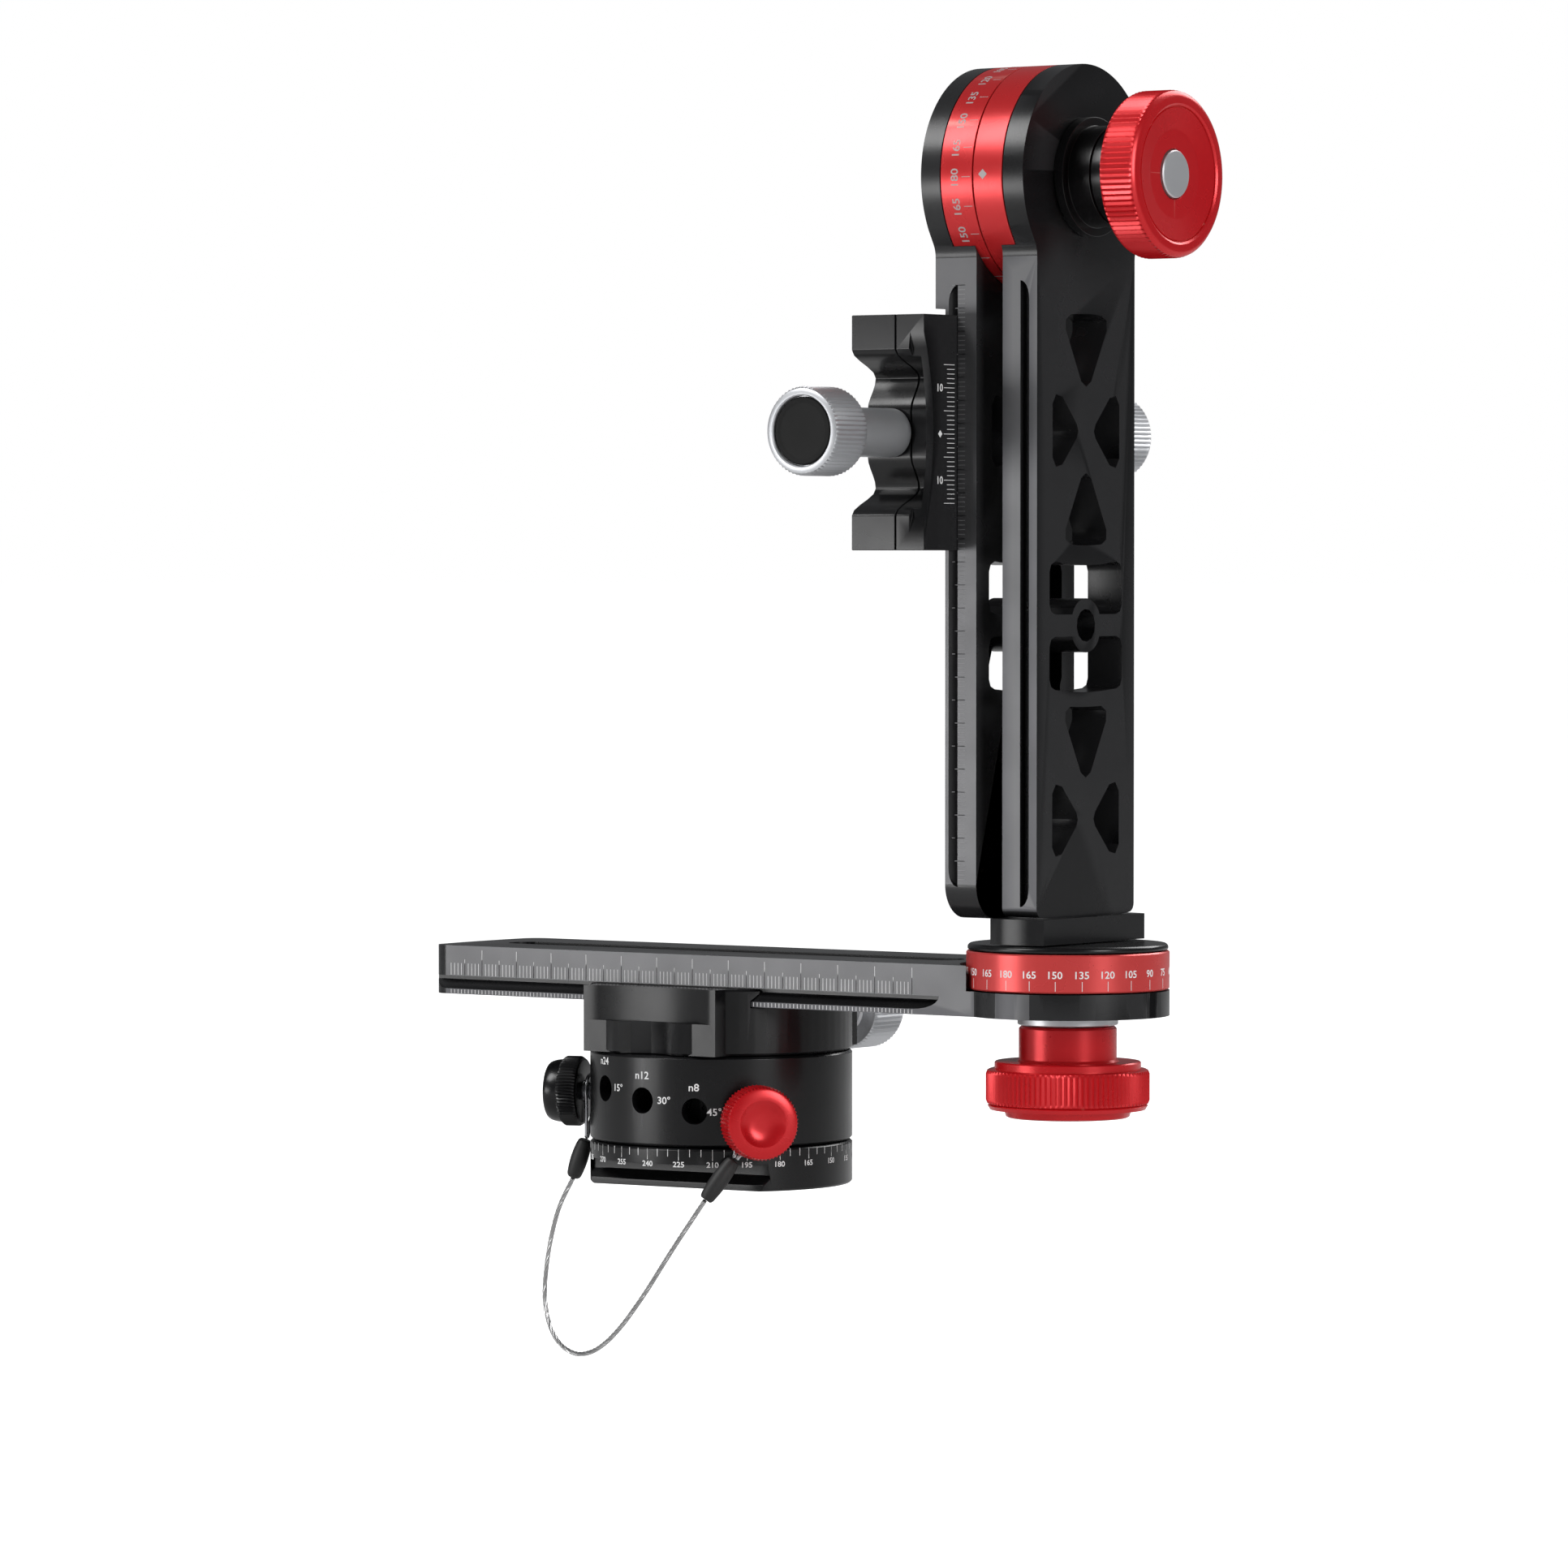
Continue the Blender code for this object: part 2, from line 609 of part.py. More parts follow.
def base():
    """Base ring with its dovetail foot, thread bush, index core and what holds them."""
    chamfer = EDGE_CHAMFER
    ring = turned("base_ring", [
        (BUSH_RADIUS + GAP, BASE_HEIGHT), (ROTATOR_RADIUS - chamfer, BASE_HEIGHT),
        (ROTATOR_RADIUS, BASE_HEIGHT - chamfer), (ROTATOR_RADIUS, chamfer),
        (ROTATOR_RADIUS - chamfer, 0), (BUSH_RADIUS + GAP, 0), (BUSH_RADIUS + GAP, BASE_HEIGHT)],
        material=BLACK)
    outer = ROTATOR_RADIUS + OVERRUN
    foot = Matrix.Rotation(radians(FOOT_TURN), 4, UP) @ facing(EAST, side=NORTH)
    for side in (1, -1):
        section = [(side * FOOT_HALF_WIDTH, -OVERRUN), (side * FOOT_HALF_WIDTH, FOOT_FLANGE),
                   (side * FOOT_NECK_HALF_WIDTH, FOOT_SLOPE_TOP),
                   (side * FOOT_NECK_HALF_WIDTH, FOOT_GROOVE_TOP),
                   (side * outer, FOOT_GROOVE_TOP), (side * outer, -OVERRUN)]
        cut(ring, extruded("foot_side", section, -outer, outer, foot))
    tube("thread_bush", BUSH_RADIUS, THREAD_RADIUS, GAP, BUSH_HEIGHT, material=STEEL, steps=24)
    core_bottom = BASE_HEIGHT + GAP
    core = rod("index_core", CORE_RADIUS, core_bottom, CORE_TOP, material=STEEL, steps=TURN_STEPS)
    cut(core, dimples(), rod("core_thread", CENTRE_BOLT_RADIUS + GAP, CENTRE_BOLT_BOTTOM - GAP,
                             CORE_TOP + OVERRUN))
    for i in range(CORE_SCREWS):
        place = round_the_pan(FOOT_TURN + 360 * i / CORE_SCREWS, 0, CORE_SCREW_CIRCLE)
        upright = Matrix.Translation(place.translation) @ facing(-UP)
        seat = Matrix.Translation(UP * CORE_SCREW_HEAD_DEPTH) @ upright
        screw(f"core_screw_{i + 1}", seat, CORE_SCREW_RADIUS, CORE_SCREW_TIP - CORE_SCREW_HEAD_DEPTH,
              CORE_SCREW_HEAD, CORE_SCREW_HEAD_DEPTH - GAP)
        hole = screw_hole(seat, CORE_SCREW_RADIUS, CORE_SCREW_TIP - CORE_SCREW_HEAD_DEPTH, CORE_SCREW_HEAD,
                          CORE_SCREW_HEAD_DEPTH + OVERRUN)
        cut(ring, hole)
        cut(core, hole)
    tube("pan_bearing", PAN_BEARING_OUTER, PAN_BEARING_INNER, CORE_TOP + GAP, WEB_BOTTOM - GAP,
         material=BRONZE)
    head = HOUSING_TOP + GAP
    screw("centre_bolt", Matrix.Translation(UP * head), CENTRE_BOLT_RADIUS, head - CENTRE_BOLT_BOTTOM,
          CENTRE_BOLT_HEAD_RADIUS, CENTRE_BOLT_HEAD_HEIGHT)


def index_row(i):
    return INDEX_TOP_ROW - i * INDEX_ROW_STEP


def dimples():
    """One cutter with every dimple of the index core, a row for each index hole."""
    mesh = bpy.data.meshes.new("dimples")
    drills = bmesh.new()
    for i, count in enumerate(INDEX_COUNTS):
        for k in range(count):
            place = round_the_pan(INDEX_TURNS[i] + 360 * k / count, index_row(i), CORE_RADIUS)
            bmesh.ops.create_cone(drills, cap_ends=True, segments=4, radius1=DIMPLE_RADIUS / 2,
                                  radius2=DIMPLE_RADIUS, depth=DIMPLE_DEPTH * 2, matrix=place)
    drills.to_mesh(mesh)
    drills.free()
    return listed("dimples", mesh, Matrix(), None)


# Rotator: housing with its index holes, plunger and lock

def rotator():
    """Housing that turns on the core."""
    chamfer = EDGE_CHAMFER
    bottom = BASE_HEIGHT + GAP
    web_hole = CENTRE_BOLT_RADIUS + GAP
    housing = turned("rotator_housing", [
        (web_hole, HOUSING_TOP), (ROTATOR_RADIUS - chamfer, HOUSING_TOP),
        (ROTATOR_RADIUS, HOUSING_TOP - chamfer), (ROTATOR_RADIUS, bottom + chamfer),
        (ROTATOR_RADIUS - chamfer, bottom), (CAVITY_RADIUS, bottom), (CAVITY_RADIUS, WEB_BOTTOM),
        (web_hole, WEB_BOTTOM), (web_hole, HOUSING_TOP)], material=BLACK)
    for i, turn in enumerate(INDEX_TURNS):
        cut(housing, rod("index_hole", INDEX_HOLE_RADIUS, CAVITY_RADIUS - OVERRUN,
                         ROTATOR_RADIUS + OVERRUN, round_the_pan(turn, index_row(i))))
    cut(housing, rod("lock_hole", LOCK_SCREW_RADIUS + GAP, CAVITY_RADIUS - OVERRUN,
                     ROTATOR_RADIUS + OVERRUN, round_the_pan(LOCK_TURN, LOCK_HEIGHT)))
    return housing


def index_plunger():
    """Barrel backed just out of a dimple, and the red knob on it."""
    place = round_the_pan(INDEX_TURNS[-1], index_row(len(INDEX_TURNS) - 1))
    barrel_end = CORE_RADIUS + GAP * 2
    tip = CORE_RADIUS + GAP
    turned("index_plunger", [
        (0, INDEX_KNOB_BACK + INDEX_BARREL_GRIP), (BARREL_RADIUS, INDEX_KNOB_BACK + INDEX_BARREL_GRIP),
        (BARREL_RADIUS, barrel_end + EDGE_CHAMFER), (PLUNGER_TIP_RADIUS, barrel_end),
        (PLUNGER_TIP_RADIUS / 2, tip), (0, tip)], place, STEEL, SMALL_STEPS)
    face = INDEX_KNOB_BACK + INDEX_KNOB_LENGTH
    core = INDEX_KNOB_RADIUS - KNURL_DEPTH * 2
    knob = turned("index_knob", [
        (0, face - INDEX_DISH_DEPTH), (INDEX_DISH_RADIUS - INDEX_DISH_DEPTH, face - INDEX_DISH_DEPTH),
        (INDEX_DISH_RADIUS, face), (core, face), (core, INDEX_KNOB_BACK), (0, INDEX_KNOB_BACK)],
        place, RED, KNOB_STEPS)
    join(knob, extruded("index_band", knurled(INDEX_KNOB_RADIUS, INDEX_KNOB_TEETH),
                        INDEX_KNOB_BACK + EDGE_CHAMFER, face - EDGE_CHAMFER, place))
    cut(knob, rod("index_bore", BARREL_RADIUS + GAP, INDEX_KNOB_BACK - OVERRUN,
                  INDEX_KNOB_BACK + INDEX_BARREL_GRIP + GAP, place))


def pan_lock():
    """Shoe that rubs on the core, its screw and the black knob."""
    place = round_the_pan(LOCK_TURN, LOCK_HEIGHT)
    shoe = CAVITY_RADIUS + GAP
    rod("pan_lock_shoe", LOCK_SCREW_RADIUS, CORE_RADIUS + GAP, shoe + LOCK_SHOE_LENGTH, place, BRONZE)
    grip = LOCK_KNOB_BACK + LOCK_SCREW_GRIP
    rod("pan_lock_screw", LOCK_SCREW_RADIUS, shoe + LOCK_SHOE_LENGTH + GAP, grip, place, STEEL)
    face = LOCK_KNOB_BACK + LOCK_KNOB_LENGTH
    band = LOCK_KNOB_BACK + LOCK_KNOB_BAND
    core = LOCK_KNOB_RADIUS - KNURL_DEPTH * 2
    dome = [(LOCK_DOME_RADIUS + (core - LOCK_DOME_RADIUS) * cos(radians(t)),
             band + (face - band) * sin(radians(t))) for t in (90, 65, 40, 15, 0)]
    knob = turned("pan_lock_knob", [(0, face)] + dome + [(core, LOCK_KNOB_BACK), (0, LOCK_KNOB_BACK)],
                  place, BLACK, KNOB_STEPS)
    join(knob, extruded("lock_band", knurled(LOCK_KNOB_RADIUS, LOCK_KNOB_TEETH),
                        LOCK_KNOB_BACK + EDGE_CHAMFER, band, place))
    cut(knob, rod("lock_bore", LOCK_SCREW_RADIUS + GAP, LOCK_KNOB_BACK - OVERRUN, grip + GAP, place))


# Lower clamp: fixed front jaw on the rotator, moving rear jaw and its knob

def clamp_blank(name, material):
    """Round block with a straight bar across it, scalloped front and rear."""
    blank = turned(name, [
        (0, CLAMP_TOP), (ROTATOR_RADIUS - EDGE_CHAMFER, CLAMP_TOP),
        (ROTATOR_RADIUS, CLAMP_TOP - EDGE_CHAMFER), (ROTATOR_RADIUS, CLAMP_BOTTOM + EDGE_CHAMFER),
        (ROTATOR_RADIUS - EDGE_CHAMFER, CLAMP_BOTTOM), (0, CLAMP_BOTTOM)], material=material, steps=TURN_STEPS * 2)
    join(blank, box(name + "_bar", (-CLAMP_HALF_LENGTH, -CLAMP_FRONT, CLAMP_BOTTOM),
                    (CLAMP_HALF_LENGTH, CLAMP_FRONT, CLAMP_TOP)))
    radius = (SCALLOP_HALF_LENGTH ** 2 + SCALLOP_DEPTH ** 2) / (2 * SCALLOP_DEPTH)
    for side in (1, -1):
        centre = Matrix.Translation(NORTH * side * (CLAMP_FRONT - SCALLOP_DEPTH + radius))
        cut(blank, rod(name + "_scallop", radius, CLAMP_STEP, CLAMP_TOP + OVERRUN, centre, steps=96))
    return blank


def lower_clamp():
    """Clamp body, moving jaw, the bolts that hold it and the guide pins."""
    body = clamp_blank("lower_clamp_body", BLACK)
    jaw = clamp_blank("lower_jaw", BLACK)
    outer = ROTATOR_RADIUS + OVERRUN
    top = CLAMP_TOP + OVERRUN
    lip = [(y, CLAMP_FLOOR + h) for y, h in jaw_side(RAIL_FLANGE, top - CLAMP_FLOOR)]
    section = facing(EAST, side=NORTH)
    channel = [(-y, z) for y, z in lip] + [(outer, top), (outer, CLAMP_FLOOR)]
    cut(body, extruded("lower_channel", channel, -outer, outer, section),
        box("rear_of_body", (-outer, CLAMP_SPLIT, CLAMP_BOTTOM - OVERRUN), (outer, outer, top)),
        rod("front_recess", RECESS_RADIUS, CLAMP_BOTTOM - OVERRUN, CLAMP_STEP,
            Matrix.Translation(-NORTH * (ROTATOR_RADIUS - RECESS_DEPTH + RECESS_RADIUS))),
        rod("bolt_head_room", CENTRE_BOLT_HEAD_RADIUS + GAP, CLAMP_BOTTOM - OVERRUN,
            HOUSING_TOP + CENTRE_BOLT_HEAD_HEIGHT + GAP * 2))
    start = CLAMP_SPLIT + GAP
    keep(jaw, extruded("jaw_part", [
        (start, CLAMP_BOTTOM - OVERRUN), (outer, CLAMP_BOTTOM - OVERRUN), (outer, top)]
        + lip[::-1][:3] + [(lip[0][0], CLAMP_FLOOR + GAP), (start, CLAMP_FLOOR + GAP)],
        -outer, outer, section))
    cut(jaw, box("jaw_flat", (-outer, CLAMP_FRONT, CLAMP_BOTTOM - OVERRUN), (outer, outer, top)))
    housing = rotator()
    for i, side in enumerate((1, -1)):
        seat = CLAMP_FLOOR - CLAMP_BOLT_HEAD_DEPTH - GAP
        place = Matrix.Translation((side * CLAMP_BOLT_PLACE, 0, seat))
        length = seat - CLAMP_BOLT_TIP
        screw(f"clamp_bolt_{i + 1}", place, CLAMP_BOLT_RADIUS, length, CLAMP_BOLT_HEAD, CLAMP_BOLT_HEAD_DEPTH)
        hole = screw_hole(place, CLAMP_BOLT_RADIUS, length, CLAMP_BOLT_HEAD, CLAMP_BOLT_HEAD_DEPTH + OVERRUN)
        cut(body, hole)
        cut(housing, hole)
        pin = facing(NORTH, (side * GUIDE_PIN_SPREAD, 0, CLAMP_SCREW_HEIGHT))
        end = CLAMP_FRONT - SCALLOP_DEPTH
        rod(f"lower_guide_pin_{i + 1}", GUIDE_PIN_RADIUS, end - GUIDE_PIN_DEPTH - CLAMP_SPLIT / 2,
            end - SCALLOP_DEPTH, pin, STEEL)
        hole = rod("guide_pin_hole", GUIDE_PIN_RADIUS + GAP, end - GUIDE_PIN_DEPTH - CLAMP_SPLIT / 2 - GAP,
                   end - SCALLOP_DEPTH + GAP, pin)
        cut(body, hole)
        cut(jaw, hole)
    knob = facing(NORTH, (0, CLAMP_FRONT + GAP, CLAMP_SCREW_HEIGHT))
    silver_knob("lower_clamp_knob", knob, SILVER_STEM_LENGTH, CLAMP_SCREW_RADIUS, CLAMP_SCREW_DEPTH)
    bore = rod("clamp_screw_hole", CLAMP_SCREW_RADIUS + GAP, -CLAMP_SCREW_DEPTH - GAP, OVERRUN, knob)
    cut(body, bore)
    cut(jaw, bore)


# Lower rail and its hub

def lower_rail():
    """Rail with dovetail sides, a slot along its top and a round hub."""
    rail = extruded("lower_rail", paddle(RAIL_HALF_WIDTH, RAIL_START, RAIL_CORNER_RADIUS, HUB_X,
                                         HUB_RADIUS, HUB_FILLET),
                    RAIL_BOTTOM, RAIL_TOP, facing(UP, side=-NORTH), BLACK)
    cut(rail, *side_grooves("rail", RAIL_START - OVERRUN, RAIL_GROOVE_END, (0, RAIL_RUNOUT),
                            RAIL_FLANGE, RAIL_GROOVE_HEIGHT, Matrix.Translation(UP * RAIL_BOTTOM)))
    slot = rounded([(RAIL_SLOT_START, -RAIL_SLOT_HALF_WIDTH), (RAIL_SLOT_END, -RAIL_SLOT_HALF_WIDTH),
                    (RAIL_SLOT_END, RAIL_SLOT_HALF_WIDTH), (RAIL_SLOT_START, RAIL_SLOT_HALF_WIDTH)],
                   RAIL_SLOT_HALF_WIDTH - MERGE * 2, 6)
    hub = Matrix.Translation(EAST * HUB_X)
    bush = HUB_BOLT_RADIUS + GAP + HUB_BUSH_WALL
    cut(rail, extruded("rail_slot", slot, RAIL_TOP - RAIL_SLOT_DEPTH, RAIL_TOP + OVERRUN),
        turned("hub_room", [
            (0, RAIL_TOP + OVERRUN), (HUB_POCKET_RADIUS, RAIL_TOP + OVERRUN), (HUB_POCKET_RADIUS, HUB_FLOOR),
            (bush + GAP, HUB_FLOOR), (bush + GAP, RAIL_BOTTOM - OVERRUN), (0, RAIL_BOTTOM - OVERRUN)], hub))
    tube("hub_bush", bush, bush - HUB_BUSH_WALL, RAIL_BOTTOM, HUB_FLOOR, hub, BRONZE, SMALL_STEPS)
    ring = HUB_FLOOR + GAP
    tube("hub_scale_ring", HUB_RADIUS, HUB_RING_BORE, ring, HUB_RING_TOP, hub, RED)
    washer = RAIL_BOTTOM - GAP
    tube("hub_washer", HUB_WASHER_RADIUS, HUB_BOLT_RADIUS + GAP, washer - HUB_WASHER_HEIGHT, washer,
         hub, SILVER, KNOB_STEPS)


def hub_knob():
    """Big red knob under the hub, from its stem down to its boss."""
    hub = Matrix.Translation(EAST * HUB_X)
    top = RAIL_BOTTOM - HUB_WASHER_HEIGHT - GAP * 2
    collar = top - HUB_STEM_LENGTH
    knurl = collar - HUB_COLLAR_HEIGHT
    lip = knurl - HUB_KNURL_HEIGHT
    boss = lip - HUB_KNOB_LIP
    end = boss - HUB_BOSS_HEIGHT
    core = HUB_KNOB_RADIUS - KNURL_DEPTH
    knob = turned("hub_knob", [
        (0, top), (HUB_STEM_RADIUS, top), (HUB_STEM_RADIUS, collar), (HUB_COLLAR_RADIUS, collar),
        (HUB_COLLAR_RADIUS, knurl), (core - KNURL_DEPTH, knurl), (core - KNURL_DEPTH, lip), (core, lip),
        (core - EDGE_CHAMFER, boss), (HUB_BOSS_RADIUS, boss), (HUB_BOSS_RADIUS - EDGE_CHAMFER, end),
        (0, end)], hub, RED, KNOB_STEPS)
    join(knob, extruded("hub_band", knurled(HUB_KNOB_RADIUS, HUB_KNOB_TEETH), lip - KNURL_DEPTH / 2,
                        knurl + KNURL_DEPTH / 2, hub))
    cut(knob, rod("hub_knob_bore", HUB_BOLT_RADIUS + GAP, lip - GAP, top + OVERRUN, hub))
    return lip


# Swivel block and upright

def swivel(bolt_end):
    """Cap and block that turn on the hub, and the bolt through them."""
    hub = Matrix.Translation(EAST * HUB_X)
    plate = HUB_RING_TOP + GAP
    top = plate + HUB_CAP_HEIGHT
    bore = HUB_BOLT_RADIUS + GAP
    turned("hub_cap", [
        (bore, top), (HUB_CAP_RADIUS - EDGE_CHAMFER, top), (HUB_CAP_RADIUS, top - EDGE_CHAMFER),
        (HUB_CAP_RADIUS, plate), (HUB_RING_BORE - GAP, plate), (HUB_RING_BORE - GAP, HUB_FLOOR + GAP),
        (bore, HUB_FLOOR + GAP), (bore, top)], hub, BLACK)
    floor = top + GAP
    block = rod("swivel_block", BLOCK_RADIUS, floor, BLOCK_TOP, hub, BLACK, TURN_STEPS)
    wide = BLOCK_RADIUS + OVERRUN
    head = BLOCK_TOP - HUB_BOLT_HEAD_HEIGHT - GAP
    keep(block, box("block_sides", (HUB_X - BLOCK_HALF_DEPTH, -wide, floor - OVERRUN),
                    (HUB_X + BLOCK_HALF_DEPTH, wide, BLOCK_TOP + OVERRUN)))
    seat = Matrix.Translation((HUB_X, 0, head))
    cut(block, screw_hole(seat, HUB_BOLT_RADIUS, head - floor + OVERRUN, HUB_BOLT_HEAD_RADIUS,
                          HUB_BOLT_HEAD_HEIGHT + GAP + OVERRUN))
    screw("hub_bolt", seat, HUB_BOLT_RADIUS, head - bolt_end, HUB_BOLT_HEAD_RADIUS, HUB_BOLT_HEAD_HEIGHT)
    side = facing(-EAST, (HUB_X - BLOCK_HALF_DEPTH, SET_SCREW_Y, SET_SCREW_HEIGHT))
    rod("block_set_screw", SET_SCREW_RADIUS, -SET_SCREW_DEPTH, SET_SCREW_OUT, side, SILVER)
    cut(block, rod("set_screw_hole", SET_SCREW_RADIUS + GAP, -SET_SCREW_DEPTH - GAP, OVERRUN, side))
    beam = upright()
    for i, y in enumerate((BLOCK_SCREW_SPREAD, -BLOCK_SCREW_SPREAD)):
        head = facing(-UP, (HUB_X, y, floor + BLOCK_SCREW_HEAD))
        rise = BLOCK_TOP + BLOCK_SCREW_RISE - floor - BLOCK_SCREW_HEAD
        screw(f"block_screw_{i + 1}", head, BLOCK_SCREW_RADIUS, rise, BLOCK_SCREW_HEAD,
              BLOCK_SCREW_HEAD - GAP)
        hole = screw_hole(head, BLOCK_SCREW_RADIUS, rise, BLOCK_SCREW_HEAD, BLOCK_SCREW_HEAD + OVERRUN)
        cut(block, hole)
        cut(beam, hole)


def beam_cut_outs(name, low, high):
    """Cutters and the boss shared by the upright and the arm, which run from low to high in X."""
    place = facing(EAST, side=NORTH)
    low, high = low - OVERRUN, high + OVERRUN
    made = []

    def opening(corners):
        made.append(extruded(name + "_opening", rounded(corners, WINDOW_CORNER), low, high, place))

    for side in (1, -1):
        near = WINDOW_CENTRE + side * WINDOW_BRIDGE
        far = near + side * WINDOW_HEIGHT
        opening([(-WINDOW_HALF_WIDTH, near), (WINDOW_HALF_WIDTH, near),
                 (WINDOW_HALF_WIDTH, far), (-WINDOW_HALF_WIDTH, far)])
        base = WINDOW_CENTRE + side * TRIANGLE_OFFSET
        opening([(-TRIANGLE_HALF_WIDTH, base), (TRIANGLE_HALF_WIDTH, base),
                 (0, base + side * TRIANGLE_HEIGHT)])
        middle = WINDOW_CENTRE + side * DIAMOND_OFFSET
        for hand in (1, -1):
            opening([(hand * DIAMOND_OUTER, middle - DIAMOND_HALF_HEIGHT),
                     (hand * DIAMOND_OUTER, middle + DIAMOND_HALF_HEIGHT), (hand * DIAMOND_INNER, middle)])
    opening([(-TRIANGLE_HALF_WIDTH, TOP_TRIANGLE_BASE), (TRIANGLE_HALF_WIDTH, TOP_TRIANGLE_BASE),
             (0, TOP_TRIANGLE_BASE - TRIANGLE_HEIGHT)])
    return made


def beam(name, low, high, bottom, corner):
    """Upright bar with a round head at the tilt axis, its cut-outs and its boss."""
    made = extruded(name, paddle(RAIL_HALF_WIDTH, bottom, corner, TILT_HEIGHT,
                                 HEAD_RADIUS, HEAD_FILLET), low, high, facing(EAST, side=NORTH), BLACK)
    cut(made, *beam_cut_outs(name, low, high))
    centre = Matrix.Translation(UP * WINDOW_CENTRE) @ facing(EAST, side=NORTH)
    join(made, rod(name + "_boss", BOSS_RADIUS, low, high, centre, steps=16))
    return cut(made, rod(name + "_boss_hole", BOSS_HOLE_RADIUS, low - OVERRUN, high + OVERRUN, centre))


def tilt_axis():
    return Matrix.Translation(UP * TILT_HEIGHT) @ facing(EAST, side=NORTH)


def upright():
    """Upright with dovetail sides and a head that holds the index ring."""
    made = beam("upright_beam", UPRIGHT_BACK, UPRIGHT_FRONT, BLOCK_TOP + GAP, BEAM_CORNER_RADIUS)
    bush = AXLE_RADIUS + GAP + TILT_BUSH_WALL
    cut(made, turned("upright_head_room", [
        (0, UPRIGHT_FRONT + OVERRUN), (bush + GAP, UPRIGHT_FRONT + OVERRUN),
        (bush + GAP, RING_POCKET_FLOOR), (RING_POCKET_RADIUS, RING_POCKET_FLOOR),
        (RING_POCKET_RADIUS, UPRIGHT_BACK - OVERRUN), (0, UPRIGHT_BACK - OVERRUN)], tilt_axis()),
        *side_grooves("upright", GROOVE_LOW_END, GROOVE_HIGH_END, (BEAM_RUNOUT, BEAM_RUNOUT),
                      UPRIGHT_FLANGE, UPRIGHT_GROOVE, facing(-EAST, (UPRIGHT_FRONT, 0, 0), side=UP)))
    ring = TILT_RING_SPLIT + GAP / 2
    tube("tilt_index_ring", HEAD_RADIUS, bush + GAP, ring, RING_POCKET_FLOOR - GAP, tilt_axis(), RED)
    tube("tilt_bush", bush, bush - TILT_BUSH_WALL, ring + GAP, UPRIGHT_FRONT, tilt_axis(), BRONZE, SMALL_STEPS)
    start = UPRIGHT_FRONT + GAP
    bore = AXLE_RADIUS + GAP
    turned("tilt_collar", [
        (bore, COLLAR_NECK_END), (COLLAR_NECK_RADIUS, COLLAR_NECK_END), (COLLAR_NECK_RADIUS, COLLAR_END),
        (COLLAR_RADIUS, COLLAR_END), (COLLAR_RADIUS, start), (bore, start), (bore, COLLAR_NECK_END)],
        tilt_axis(), BLACK, KNOB_STEPS)
    return made


# Camera arm and tilt head

def camera_arm():
    """Arm that tilts on the axle, with its scale ring and the screws that hold it."""
    made = beam("camera_arm", ARM_HEAD_START, ARM_FRONT, ARM_BOTTOM, ARM_CORNER_RADIUS)
    axis = tilt_axis()
    wide = HEAD_RADIUS + OVERRUN
    flange = TILT_SCALE_START - ARM_HEAD_START
    seat = ARM_HEAD_START + AXLE_FLANGE_HEIGHT
    cut(made, box("below_neck", (ARM_HEAD_START - OVERRUN, -wide, ARM_BOTTOM - OVERRUN),
                  (ARM_BACK, wide, ARM_NECK_LOW)),
        turned("arm_head_room", [
            (0, ARM_FRONT + OVERRUN), (RING_POCKET_RADIUS, ARM_FRONT + OVERRUN),
            (RING_POCKET_RADIUS, TILT_SCALE_START), (AXLE_RADIUS + GAP, TILT_SCALE_START),
            (AXLE_RADIUS + GAP, seat + GAP), (AXLE_FLANGE_RADIUS + GAP, seat + GAP),
            (AXLE_FLANGE_RADIUS + GAP, ARM_HEAD_START - OVERRUN), (0, ARM_HEAD_START - OVERRUN)], axis),
        *side_grooves("arm", ARM_GROOVE_LOW, ARM_GROOVE_HIGH, (BEAM_RUNOUT, BEAM_RUNOUT),
                      ARM_FLANGE, ARM_GROOVE, facing(EAST, (ARM_BACK, 0, 0), side=UP)))
    ring = tube("tilt_scale_ring", HEAD_RADIUS, AXLE_RADIUS + GAP, TILT_SCALE_START + GAP,
                TILT_RING_SPLIT - GAP / 2, axis, RED)
    end = TILT_CAP_FACE - TILT_CAP_DEPTH - GAP * 3
    turned("tilt_axle", [
        (0, end), (AXLE_RADIUS, end), (AXLE_RADIUS, seat), (AXLE_FLANGE_RADIUS, seat),
        (AXLE_FLANGE_RADIUS, ARM_HEAD_START), (0, ARM_HEAD_START)], axis, STEEL, KNOB_STEPS)
    for i in range(3):
        spot = Matrix.Rotation(2 * pi * i / 3 + pi / 6, 4, EAST) @ (UP * ARM_SCREW_CIRCLE)
        place = facing(-EAST, spot + UP * TILT_HEIGHT + EAST * (ARM_HEAD_START + flange / 2))
        screw(f"arm_screw_{i + 1}", place, ARM_SCREW_RADIUS, ARM_SCREW_LENGTH,
              ARM_SCREW_RADIUS * 2, flange / 2 - GAP)
        hole = screw_hole(place, ARM_SCREW_RADIUS, ARM_SCREW_LENGTH, ARM_SCREW_RADIUS * 2, flange)
        cut(made, hole)
        cut(ring, hole)
    return end


